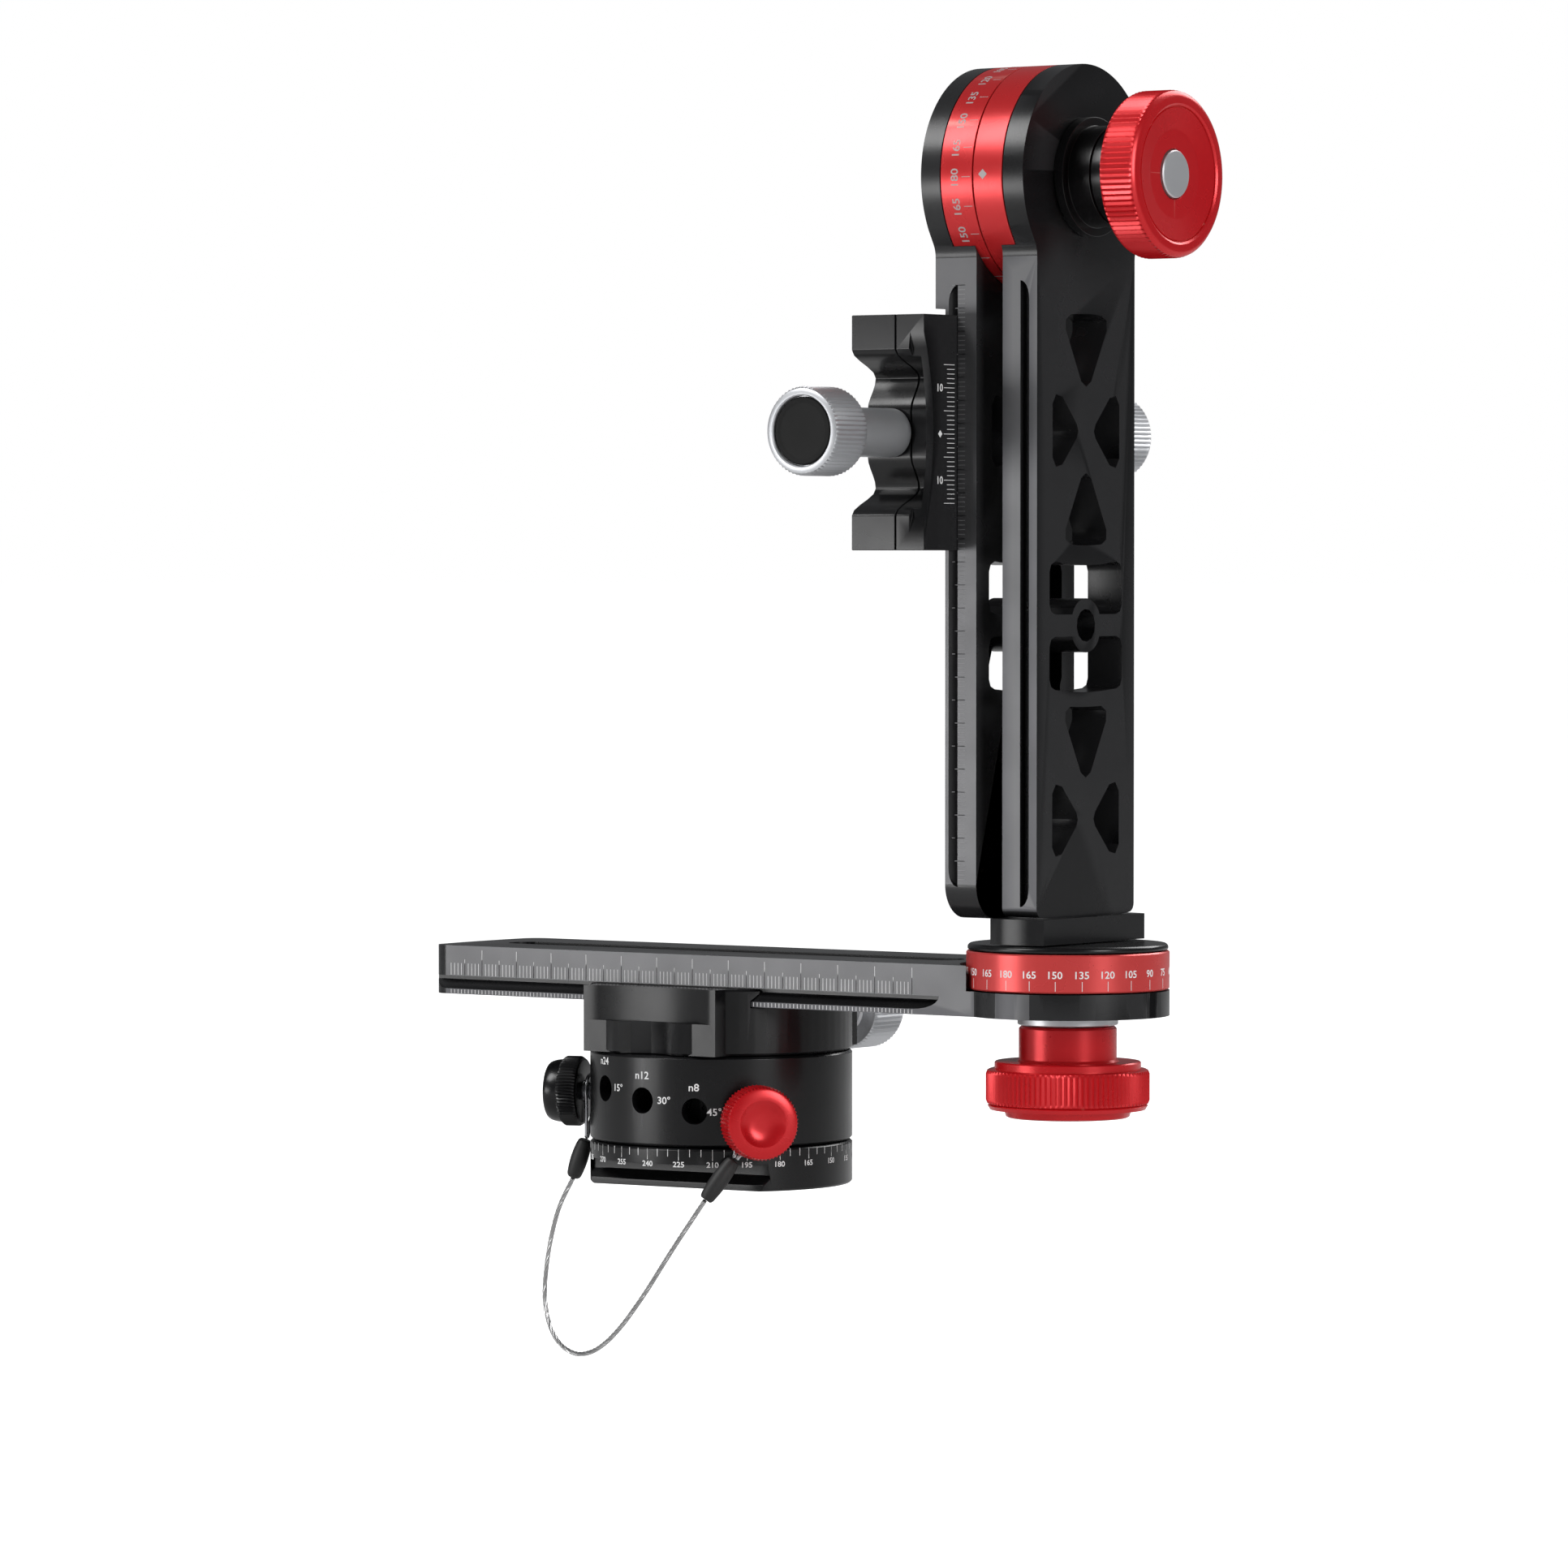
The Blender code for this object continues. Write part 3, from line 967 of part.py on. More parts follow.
def tilt_knob(axle_end):
    """Red knob on the axle, with a raised rim, a dished face and a silver disc in its middle."""
    axis = tilt_axis()
    core = TILT_KNOB_RADIUS - KNURL_DEPTH
    stem = COLLAR_NECK_END + GAP
    pocket = TILT_CAP_FACE - TILT_CAP_DEPTH - GAP
    floor = TILT_KNOB_END - TILT_DISH_DEPTH
    knob = turned("tilt_knob", [
        (0, floor), (TILT_DISH_FLAT, floor), (TILT_STEP_RADIUS, TILT_KNOB_END - TILT_STEP_DEPTH),
        (TILT_STEP_RADIUS, TILT_KNOB_END), (core - TILT_RIM_ROUND, TILT_KNOB_END),
        (core - KNURL_DEPTH, TILT_KNOB_END - TILT_RIM_ROUND),
        (core - KNURL_DEPTH, TILT_KNOB_START + EDGE_CHAMFER), (core - EDGE_CHAMFER * 2, TILT_KNOB_START),
        (TILT_STEM_RADIUS, TILT_KNOB_START), (TILT_STEM_RADIUS, stem), (0, stem)],
        axis, RED, KNOB_STEPS)
    join(knob, extruded("tilt_band", knurled(TILT_KNOB_RADIUS, TILT_KNOB_TEETH),
                        TILT_KNOB_START + EDGE_CHAMFER, TILT_KNOB_END - TILT_BAND_DROP, axis))
    cut(knob, rod("tilt_knob_bore", AXLE_RADIUS + GAP, stem - OVERRUN, axle_end + GAP, axis),
        rod("tilt_cap_room", TILT_CAP_RADIUS + GAP, pocket, TILT_KNOB_END + OVERRUN, axis))
    rod("tilt_knob_cap", TILT_CAP_RADIUS, TILT_CAP_FACE - TILT_CAP_DEPTH, TILT_CAP_FACE, axis, SILVER)


# Camera clamp on the arm

def ease(start, end, count=5):
    """Points of a smooth step between two (height, depth) points."""
    return [(start[0] + (end[0] - start[0]) * i / count,
             start[1] + (end[1] - start[1]) * (1 - cos(pi * i / count)) / 2) for i in range(1, count + 1)]


def front_wave():
    """Wavy front of the clamp in (Y, Z): horns at both ends, scallops, and a pad in the middle."""
    horn = CAMERA_CLAMP_HALF - HORN_HALF_HEIGHT * 2
    half = [(0, PAD_DEPTH), (PAD_HALF_HEIGHT, PAD_DEPTH)]
    half += ease(half[-1], (SCALLOP_OFFSET, SCALLOP_MIDDLE)) + ease((SCALLOP_OFFSET, SCALLOP_MIDDLE),
                                                                  (horn, HORN_DEPTH))
    half += [(CAMERA_CLAMP_HALF + OVERRUN, HORN_DEPTH)]
    both = [(-h, d) for h, d in half[:0:-1]] + half[1:]
    return [(-depth, CAMERA_CLAMP_CENTRE + height) for height, depth in both]


def rim_arc():
    """Gentle concave front edge of the vernier rim in (Y, Z)."""
    reach = CAMERA_CLAMP_HALF - HORN_HALF_HEIGHT
    steps = [i / 6 for i in range(-6, 7)]
    drop = HORN_DEPTH - RIM_MIDDLE_DEPTH
    middle = [(-(RIM_MIDDLE_DEPTH + drop * s * s), CAMERA_CLAMP_CENTRE + reach * s) for s in steps]
    end = CAMERA_CLAMP_HALF + OVERRUN
    return [(-HORN_DEPTH, CAMERA_CLAMP_CENTRE - end)] + middle + [(-HORN_DEPTH, CAMERA_CLAMP_CENTRE + end)]


def in_front(name, edge, low, high):
    """Cutter for all that lies in front of an edge, from low to high in X."""
    outer = -HORN_DEPTH - OVERRUN * 2
    outline = edge + [(outer, edge[-1][1]), (outer, edge[0][1])]
    return extruded(name, outline, low, high, facing(EAST, side=NORTH))


def camera_clamp():
    """Clamp body on the arm and its two moving jaws, each with a knob."""
    section = facing(-UP, side=NORTH)
    low, high = -CAMERA_CLAMP_CENTRE - CAMERA_CLAMP_HALF, -CAMERA_CLAMP_CENTRE + CAMERA_CLAMP_HALF
    outer = HORN_DEPTH + OVERRUN
    arm_side = [(y, ARM_FLOOR + h) for y, h in jaw_side(ARM_FLANGE, VERNIER_FACE - ARM_FLOOR)]
    camera_side = [(y, CAMERA_FLOOR - h) for y, h in jaw_side(RAIL_FLANGE, CAMERA_FLOOR - CAMERA_FACE)]
    inner, seat = RAIL_HALF_WIDTH + GAP * 2, RAIL_HALF_WIDTH + GAP * 3
    split, rear = JAW_SPLIT + GAP / 2, REAR_SPLIT - GAP / 2
    body = extruded("camera_clamp_body", [(-outer, split), (-outer, VERNIER_FACE)]
                    + [(-y, x) for y, x in arm_side[::-1]]
                    + [(inner, ARM_FLOOR), (inner, rear), (REAR_DEPTH, rear), (REAR_DEPTH, CAMERA_FACE)]
                    + camera_side[::-1] + [(-inner, CAMERA_FLOOR), (-inner, split)],
                    low, high, section, BLACK)
    arm_jaw = extruded("arm_jaw", [(seat, rear + GAP), (seat, ARM_FLOOR + GAP)]
                       + [(arm_side[0][0], ARM_FLOOR + GAP)] + arm_side[1:]
                       + [(REAR_DEPTH, VERNIER_FACE), (REAR_DEPTH, rear + GAP)], low, high, section, BLACK)
    camera_jaw = extruded("camera_jaw", [(-seat, split - GAP), (-seat, CAMERA_FLOOR - GAP)]
                          + [(-camera_side[0][0], CAMERA_FLOOR - GAP)]
                          + [(-y, x) for y, x in camera_side[1:]]
                          + [(-outer, CAMERA_FACE), (-outer, split - GAP)], low, high, section, BLACK)
    wave = in_front("front_wave", front_wave(), CAMERA_FACE - OVERRUN, RIM_START)
    cut(body, wave, in_front("rim_edge", rim_arc(), RIM_START - OVERRUN, VERNIER_FACE + OVERRUN))
    cut(camera_jaw, wave)
    jaw_knob("camera_jaw", camera_jaw, body, -NORTH, FRONT_KNOB_X, PAD_DEPTH, FRONT_STEM_LENGTH)
    jaw_knob("arm_jaw", arm_jaw, body, NORTH, REAR_KNOB_X, REAR_DEPTH, SILVER_STEM_LENGTH)


def jaw_knob(name, jaw, body, outward, x, depth, stem):
    """Knob and screw of a camera clamp jaw, and the bores they run in."""
    place = facing(outward, outward * (depth + GAP) + EAST * x + UP * CAMERA_CLAMP_CENTRE)
    length = depth - CAMERA_SCREW_RADIUS
    silver_knob(name + "_knob", place, stem, CAMERA_SCREW_RADIUS, length)
    bore = rod(name + "_bore", CAMERA_SCREW_RADIUS + GAP, -length - GAP * 2, OVERRUN, place)
    cut(jaw, bore)
    cut(body, bore)


# Tether

def wire(name, points, radius, material, cyclic=False):
    """A round wire through the given points."""
    curve = bpy.data.curves.new(name, "CURVE")
    curve.dimensions = "3D"
    curve.bevel_depth = radius
    curve.bevel_resolution = 2
    curve.use_fill_caps = True
    spline = curve.splines.new("POLY")
    spline.points.add(len(points) - 1)
    for point, place in zip(spline.points, points):
        point.co = (*place, 1)
    spline.use_cyclic_u = cyclic
    return listed(name, curve, Matrix(), material)


def smooth(points, step):
    """Points at even steps along a smooth curve through the given points."""
    points = [Vector(p) for p in points]
    ends = [points[0] * 2 - points[1]] + points + [points[-1] * 2 - points[-2]]
    fine = []
    for a, b, c, d in zip(ends, ends[1:], ends[2:], ends[3:]):
        for t in [i / 12 for i in range(12)]:
            fine.append((b * 2 + (c - a) * t + (a * 2 - b * 5 + c * 4 - d) * t ** 2
                         + (b * 3 - a - c * 3 + d) * t ** 3) / 2)
    fine.append(points[-1])
    total = sum((q - p).length for p, q in zip(fine, fine[1:]))
    count = max(2, round(total / step))
    out, done, target = [fine[0]], 0.0, total / count
    for p, q in zip(fine, fine[1:]):
        length = (q - p).length
        while done + length >= target - MERGE and len(out) < count:
            out.append(p.lerp(q, (target - done) / length if length else 0))
            target += total / count
        done += length
    return out + [fine[-1]], total


def eye(name, turn, height, sleeve_top, sleeve_end):
    """Teardrop of wire round a stem, whose two ends stand on the sleeve."""
    centre = round_the_pan(turn, height, EYE_STAND_OFF).translation
    outward = Vector((cos(radians(turn)), sin(radians(turn)), 0))
    down = (sleeve_top - centre)
    down = (down - outward * down.dot(outward)).normalized()
    across = outward.cross(down)
    bow = [centre + down * -cos(t) * EYE_RADIUS + across * sin(t) * EYE_RADIUS
           for t in (radians(a) for a in range(-115, 116, 23))]
    lead = (sleeve_top - sleeve_end).normalized()
    foot = sleeve_top + lead * GAP * 2
    spread = across * (EYE_WIRE_RADIUS + GAP / 2)
    route = [foot - spread, foot - spread + lead * EYE_WIRE_RADIUS * 2] + bow
    route += [foot + spread + lead * EYE_WIRE_RADIUS * 2, foot + spread]
    points = smooth(route, EYE_WIRE_RADIUS * 2 * CABLE_SAMPLE_SHARE)[0]
    wire(name, points, EYE_WIRE_RADIUS, STEEL)


def sleeve(name, top, end):
    """Crimped sleeve between an eye and the cable."""
    length = (top - end).length
    waist = length / 2
    turned(name, [(0, length), (CRIMP_WAIST_RADIUS, length), (CRIMP_RADIUS, length - EDGE_CHAMFER),
                  (CRIMP_RADIUS, waist + EDGE_CHAMFER), (CRIMP_WAIST_RADIUS, waist),
                  (CRIMP_RADIUS, waist - EDGE_CHAMFER), (CRIMP_RADIUS, EDGE_CHAMFER),
                  (CRIMP_WAIST_RADIUS, 0), (0, 0)], facing(top - end, end), SLEEVE, SMALL_STEPS)


def tether():
    """Steel cable that hangs in a loop between the plunger and the lock knob."""
    eye("tether_eye_left", LOCK_TURN, LOCK_HEIGHT, LEFT_CRIMP_TOP, LEFT_CRIMP_END)
    eye("tether_eye_right", INDEX_TURNS[-1], index_row(len(INDEX_TURNS) - 1), RIGHT_CRIMP_TOP,
        RIGHT_CRIMP_END)
    sleeve("tether_sleeve_left", LEFT_CRIMP_TOP, LEFT_CRIMP_END)
    sleeve("tether_sleeve_right", RIGHT_CRIMP_TOP, RIGHT_CRIMP_END)
    left = LEFT_CRIMP_END + (LEFT_CRIMP_END - LEFT_CRIMP_TOP).normalized() * GAP
    right = RIGHT_CRIMP_END + (RIGHT_CRIMP_END - RIGHT_CRIMP_TOP).normalized() * GAP
    points, length = smooth([left, *CABLE_ROUTE, right], CABLE_DIAMETER * CABLE_SAMPLE_SHARE)
    wire("tether_cable", points, CABLE_DIAMETER / 2, STEEL)
    print("tether cable length", round(length, 4), "m in", len(points), "points")


def finish_pieces():
    """Close hairline cracks left by the cuts, and shade smooth with sharp edges kept."""
    for piece in PARTS.objects:
        if piece.type == "MESH":
            if any(step.type == "BOOLEAN" for step in piece.modifiers):
                weld = piece.modifiers.new("weld", "WELD")
                weld.merge_threshold = WELD
            piece.data.shade_smooth()
            piece.data.set_sharp_from_angle(angle=radians(35))


base()
index_plunger()
pan_lock()
lower_clamp()
lower_rail()
swivel(hub_knob())
tilt_knob(camera_arm())
camera_clamp()
tether()
finish_pieces()
print(len(PARTS.objects), "pieces")
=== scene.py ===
# %% [markdown]
# # A panoramic tripod head
# The head carries a camera round two axes, so that the pictures of a panorama meet without
# parallax.  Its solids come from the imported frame.  This lesson gives them their edges, finishes
# and engraved scales, and adds finer knobs, rings and a real wire tether.

# %% Load the frame
import json
from math import atan2, cos, pi, radians, sin, sqrt

import bmesh
import bpy
from mathutils import Matrix, Vector


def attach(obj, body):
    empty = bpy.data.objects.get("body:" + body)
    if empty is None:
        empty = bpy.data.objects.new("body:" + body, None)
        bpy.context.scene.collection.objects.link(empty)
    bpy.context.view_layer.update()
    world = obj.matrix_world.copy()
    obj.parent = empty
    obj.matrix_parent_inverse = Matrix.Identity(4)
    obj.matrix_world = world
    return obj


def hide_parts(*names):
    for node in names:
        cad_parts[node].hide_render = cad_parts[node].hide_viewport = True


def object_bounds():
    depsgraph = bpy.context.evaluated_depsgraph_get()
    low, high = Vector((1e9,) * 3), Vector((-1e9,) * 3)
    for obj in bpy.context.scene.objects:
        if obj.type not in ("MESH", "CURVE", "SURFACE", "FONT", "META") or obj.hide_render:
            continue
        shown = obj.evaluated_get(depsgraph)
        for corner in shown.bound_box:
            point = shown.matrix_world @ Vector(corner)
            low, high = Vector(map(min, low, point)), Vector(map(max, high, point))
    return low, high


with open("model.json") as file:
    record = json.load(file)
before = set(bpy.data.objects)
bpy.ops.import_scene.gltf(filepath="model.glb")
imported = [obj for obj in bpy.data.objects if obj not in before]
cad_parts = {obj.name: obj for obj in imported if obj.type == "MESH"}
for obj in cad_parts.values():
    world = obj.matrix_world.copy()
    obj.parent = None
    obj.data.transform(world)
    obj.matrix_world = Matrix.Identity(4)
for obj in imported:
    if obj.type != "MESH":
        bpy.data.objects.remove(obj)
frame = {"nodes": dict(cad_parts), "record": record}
bpy.ops.object.select_all(action="DESELECT")
cad_box = [list(corner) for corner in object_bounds()]
body_of = {node: body for body, nodes in frame["record"]["behaviour"]["bodies"].items() for node in nodes}
print("nodes", len(frame["nodes"]), "box", cad_box)

# %% [markdown]
# The camera stands where the photographer stood: about 1.65 m away, a little above the base, and
# 36 degrees to the right of the rail's front.  A long lens keeps the upright's edges nearly
# parallel.  The place and the lens were fitted to points of the photograph whose real size is known.

# %% Camera
FRAME_PIXELS = 1932
FOCAL_PIXELS = 9068.9
SENSOR_MM = 36.0
CAMERA_PLACE = Vector((0.99196, -1.33162, 0.14129))
CAMERA_TARGET = Vector((0.01756, 0.0, 0.09017))

camera_data = bpy.data.cameras.new("photo_camera")
camera_data.sensor_width = SENSOR_MM
camera_data.lens = FOCAL_PIXELS / FRAME_PIXELS * SENSOR_MM
camera_data.clip_start = 0.05
camera_data.clip_end = 50.0
photo_camera = bpy.data.objects.new("photo_camera", camera_data)
photo_camera.location = CAMERA_PLACE
photo_camera.rotation_euler = (CAMERA_TARGET - CAMERA_PLACE).to_track_quat("-Z", "Y").to_euler()
bpy.context.scene.collection.objects.link(photo_camera)
bpy.context.scene.camera = photo_camera
print("lens", round(camera_data.lens, 2), "mm")

# %% [markdown]
# A few places are shared by everything that follows: the pan axis is the origin, the hub turns
# about a parallel axis, and the arm tilts about an axis along X.  A frame matrix whose Z runs
# along a piece's own axis lets each round piece be made upright and then put in its place.

# %% Axes and frames
UP, EAST, NORTH = Vector((0, 0, 1)), Vector((1, 0, 0)), Vector((0, 1, 0))
HUB = Vector((0.09434, 0, 0))
TILT = Vector((0, 0, 0.2235))
GAP = 0.0003


def facing(direction, origin=(0, 0, 0), side=None):
    z = Vector(direction).normalized()
    x = Vector(side) if side is not None else (EAST if abs(z.x) < 0.7 else NORTH)
    x = (x - z * x.dot(z)).normalized()
    return Matrix.Translation(Vector(origin)) @ Matrix((x, z.cross(x), z)).transposed().to_4x4()


def round_the_pan(turn, height):
    out = Vector((cos(radians(turn)), sin(radians(turn)), 0))
    return facing(out, UP * height, side=UP)


ON_PAN = Matrix()
ON_HUB = Matrix.Translation(HUB)
ON_TILT = facing(EAST, TILT, side=NORTH)
print("hub axis at", tuple(HUB), "tilt axis at", tuple(TILT))

# %% [markdown]
# Anodised metal is not one flat colour.  Its skin has a fine blasted grain, its gloss changes a
# little from place to place, and its sharp edges are painted lighter, as a painted highlight.  One
# node group makes these three effects, and each metal uses it with its own values.

# %% A shared group for the skin of metal
def group_socket(tree, name, way, kind, value=None):
    made = tree.interface.new_socket(name=name, in_out=way, socket_type=kind)
    if value is not None:
        made.default_value = value


def metal_skin():
    tree = bpy.data.node_groups.new("metal_skin", "ShaderNodeTree")
    for name, kind, value in (("Colour", "NodeSocketColor", (0.5, 0.5, 0.5, 1)),
                              ("Edge Highlight Colour", "NodeSocketColor", (0.5, 0.5, 0.5, 1)),
                              ("Edge Highlight", "NodeSocketFloat", 0.2), ("Roughness", "NodeSocketFloat", 0.3),
                              ("Variation", "NodeSocketFloat", 0.1), ("Grain Scale", "NodeSocketFloat", 4000.0)):
        group_socket(tree, name, "INPUT", kind, value)
    for name, kind in (("Colour", "NodeSocketColor"), ("Roughness", "NodeSocketFloat"),
                       ("Height", "NodeSocketFloat")):
        group_socket(tree, name, "OUTPUT", kind)
    node, link = tree.nodes.new, tree.links.new
    given, result = node("NodeGroupInput"), node("NodeGroupOutput")
    place = node("ShaderNodeTexCoord")
    grain, cloud = node("ShaderNodeTexNoise"), node("ShaderNodeTexNoise")
    cloud.inputs["Scale"].default_value = 90.0
    cloud.inputs["Detail"].default_value = 4.0
    grain.inputs["Detail"].default_value = 1.0
    link(place.outputs["Object"], grain.inputs["Vector"])
    link(place.outputs["Object"], cloud.inputs["Vector"])
    link(given.outputs["Grain Scale"], grain.inputs["Scale"])
    # Sharp edges, found by their pointiness, get a lighter colour: a painted highlight along the edges.
    edge, ramp = node("ShaderNodeNewGeometry"), node("ShaderNodeMapRange")
    ramp.inputs["From Min"].default_value = 0.53
    ramp.inputs["From Max"].default_value = 0.62
    link(edge.outputs["Pointiness"], ramp.inputs["Value"])
    edge_lit, mix = node("ShaderNodeMath"), node("ShaderNodeMix")
    edge_lit.operation = "MULTIPLY"
    mix.data_type = "RGBA"
    link(ramp.outputs["Result"], edge_lit.inputs[0])
    link(given.outputs["Edge Highlight"], edge_lit.inputs[1])
    link(edge_lit.outputs[0], mix.inputs["Factor"])
    link(given.outputs["Colour"], mix.inputs["A"])
    link(given.outputs["Edge Highlight Colour"], mix.inputs["B"])
    link(mix.outputs["Result"], result.inputs["Colour"])
    sway, add = node("ShaderNodeMath"), node("ShaderNodeMath")
    sway.operation = "MULTIPLY_ADD"
    sway.inputs[2].default_value = 0.0
    link(cloud.outputs["Fac"], sway.inputs[0])
    link(given.outputs["Variation"], sway.inputs[1])
    add.operation = "ADD"
    add.use_clamp = True
    link(sway.outputs[0], add.inputs[0])
    link(given.outputs["Roughness"], add.inputs[1])
    link(add.outputs[0], result.inputs["Roughness"])
    link(grain.outputs["Fac"], result.inputs["Height"])
    return tree


METAL_SKIN = metal_skin()
print("group sockets", [item.name for item in METAL_SKIN.interface.items_tree])

# %% [markdown]
# A metal is the group feeding a Principled shader, with the grain's height going through a weak
# Bump.  The black and red parts are dyed aluminium, and the knobs of the clamps are bare aluminium.
# The sideways faces of the rails take a lighter grey metal, a painted reflection of the low strip lamp.

# %% Metals
# edge_highlight sets how much lighter the sharp edges are painted, as a painted highlight.
def metal(name, colour, edge_lit, metallic, roughness, edge_highlight=0.3, variation=0.12, grain=4000.0, bump=0.12,
          sheen=0.5):
    made = bpy.data.materials.new(name)
    made.use_nodes = True
    nodes, link = made.node_tree.nodes, made.node_tree.links.new
    shader = nodes["Principled BSDF"]
    skin, relief = nodes.new("ShaderNodeGroup"), nodes.new("ShaderNodeBump")
    skin.node_tree = METAL_SKIN
    for socket, value in (("Colour", (*colour, 1)), ("Edge Highlight Colour", (*edge_lit, 1)), ("Edge Highlight", edge_highlight),
                          ("Roughness", roughness), ("Variation", variation), ("Grain Scale", grain)):
        skin.inputs[socket].default_value = value
    relief.inputs["Strength"].default_value = bump
    relief.inputs["Distance"].default_value = 0.00002
    link(skin.outputs["Colour"], shader.inputs["Base Color"])
    link(skin.outputs["Roughness"], shader.inputs["Roughness"])
    link(skin.outputs["Height"], relief.inputs["Height"])
    link(relief.outputs["Normal"], shader.inputs["Normal"])
    shader.inputs["Metallic"].default_value = metallic
    shader.inputs["Specular IOR Level"].default_value = sheen
    return made


BLACK = metal("black_anodised", (0.004, 0.004, 0.0045), (0.05, 0.05, 0.052), 0.0, 0.2, sheen=0.35)
# Lighter grey for the faces that look sideways: a painted reflection of the low strip lamp.
PAINTED_REFLECTION_GREY = metal("painted_reflection_side", (0.075, 0.075, 0.08), (0.2, 0.2, 0.2), 0.7, 0.34, grain=3500.0, bump=0.25)
RED = metal("red_anodised", (0.58, 0.006, 0.011), (0.8, 0.25, 0.22), 0.35, 0.22, edge_highlight=0.5)
RED_DISH = metal("red_dish", (0.58, 0.006, 0.011), (0.58, 0.006, 0.011), 0.35, 0.22, edge_highlight=0.0)
OXIDE = metal("oxide_steel", (0.012, 0.012, 0.012), (0.05, 0.05, 0.05), 0.6, 0.4)
SILVER = metal("silver_aluminium", (0.58, 0.59, 0.61), (0.8, 0.8, 0.81), 0.75, 0.34, edge_highlight=0.4)
STEEL = metal("steel", (0.52, 0.53, 0.55), (0.8, 0.8, 0.8), 1.0, 0.22)
BRONZE = metal("bronze", (0.5, 0.33, 0.15), (0.7, 0.5, 0.3), 1.0, 0.35)
WIRE = metal("tether_wire", (0.5, 0.5, 0.5), (0.8, 0.8, 0.8), 1.0, 0.3, grain=9000.0)
SLEEVE = metal("crimp_sleeve", (0.012, 0.012, 0.012), (0.05, 0.05, 0.05), 0.0, 0.45, variation=0.2)
MATT_CAP = metal("black_cap", (0.004, 0.004, 0.004), (0.015, 0.015, 0.015), 0.0, 0.6, sheen=0.25)
ENGRAVED = metal("engraved_white", (0.72, 0.72, 0.72), (0.9, 0.9, 0.9), 0.0, 0.6, variation=0.05)
SOFT_MARK = metal("engraved_soft", (0.34, 0.31, 0.31), (0.5, 0.48, 0.48), 0.0, 0.5, variation=0.05)
FAINT = metal("engraved_faint", (0.16, 0.16, 0.165), (0.3, 0.3, 0.3), 0.0, 0.5, variation=0.05)
print("materials", len(bpy.data.materials))

# %% [markdown]
# Every piece ends the same way: it takes its metal, it is shaded smooth across shallow angles with
# the normals of its large faces kept straight, and it rides on the body of the node that it
# stands for.

# %% Editing helpers
def select_only(piece):
    bpy.ops.object.select_all(action="DESELECT")
    piece.select_set(True)
    bpy.context.view_layer.objects.active = piece


def edit(piece, *steps):
    select_only(piece)
    bpy.ops.object.mode_set(mode="EDIT")
    bpy.ops.mesh.select_all(action="SELECT")
    for step in steps:
        step()
    bpy.ops.object.mode_set(mode="OBJECT")


def apply_all(piece):
    select_only(piece)
    for step in list(piece.modifiers):
        bpy.ops.object.modifier_apply(modifier=step.name)


def merge():
    bpy.ops.mesh.remove_doubles(threshold=0.000005)


def face_out():
    bpy.ops.mesh.normals_make_consistent(inside=False)


def soften(piece, width, segments=2, angle=30):
    """Round every edge sharper than the angle."""
    step = piece.modifiers.new("edges", "BEVEL")
    step.width = width
    step.segments = segments
    step.limit_method = "ANGLE"
    step.angle_limit = radians(angle)
    step.harden_normals = False
    apply_all(piece)


def finish_piece(piece, finish, node=None, body=None):
    """Give the metal, shade it, and let it ride and stand for its node."""
    piece.data.materials.clear()
    piece.data.materials.append(finish)
    select_only(piece)
    bpy.ops.object.shade_smooth_by_angle(angle=radians(32))
    step = piece.modifiers.new("flats", "WEIGHTED_NORMAL")
    step.mode, step.weight, step.keep_sharp = "FACE_AREA", 50, True
    bpy.ops.object.modifier_apply(modifier=step.name)
    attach(piece, body or body_of[node])
    if node:
        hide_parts(node)
    return piece


# %% [markdown]
# The steel tether is laid first, because it hangs free.  Its route is the one measured for the
# solids: a smooth curve through a few points, read at even steps.  Seven strands lie round the
# middle of the cable, so its outline gets shallow lobes that turn as they run.

# %% Route of the tether
CABLE_DIAMETER = 0.0011
CABLE_LENGTH = 0.1165
CABLE_SAMPLE_SHARE = 2.5
STRANDS = 7
LAY_LENGTH = 0.0085
EYE_WIRE_RADIUS = 0.00045
EYE_RADIUS = 0.0037
EYE_STAND_OFF = 0.0310
CRIMP_RADIUS = 0.0020
CRIMP_WAIST_RADIUS = 0.0015
LEFT_CRIMP_TOP = Vector((-0.0303, -0.0110, 0.0087))
LEFT_CRIMP_END = Vector((-0.0334, -0.0115, 0.0001))
RIGHT_CRIMP_TOP = Vector((0.0214, -0.0242, 0.0074))
RIGHT_CRIMP_END = Vector((0.0170, -0.0287, -0.0013))
CABLE_ROUTE = (
    (-0.0385, -0.0099, -0.0067), (-0.0417, -0.0088, -0.0135), (-0.0436, -0.0082, -0.0202),
    (-0.0446, -0.0078, -0.0268), (-0.0440, -0.0080, -0.0314), (-0.0417, -0.0088, -0.0358),
    (-0.0379, -0.0101, -0.0388), (-0.0322, -0.0121, -0.0401), (-0.0265, -0.0140, -0.0392),
    (-0.0208, -0.0160, -0.0366), (-0.0151, -0.0179, -0.0326), (-0.0095, -0.0198, -0.0277),
    (-0.0039, -0.0217, -0.0223), (0.0022, -0.0238, -0.0160), (0.0083, -0.0259, -0.0099),
)


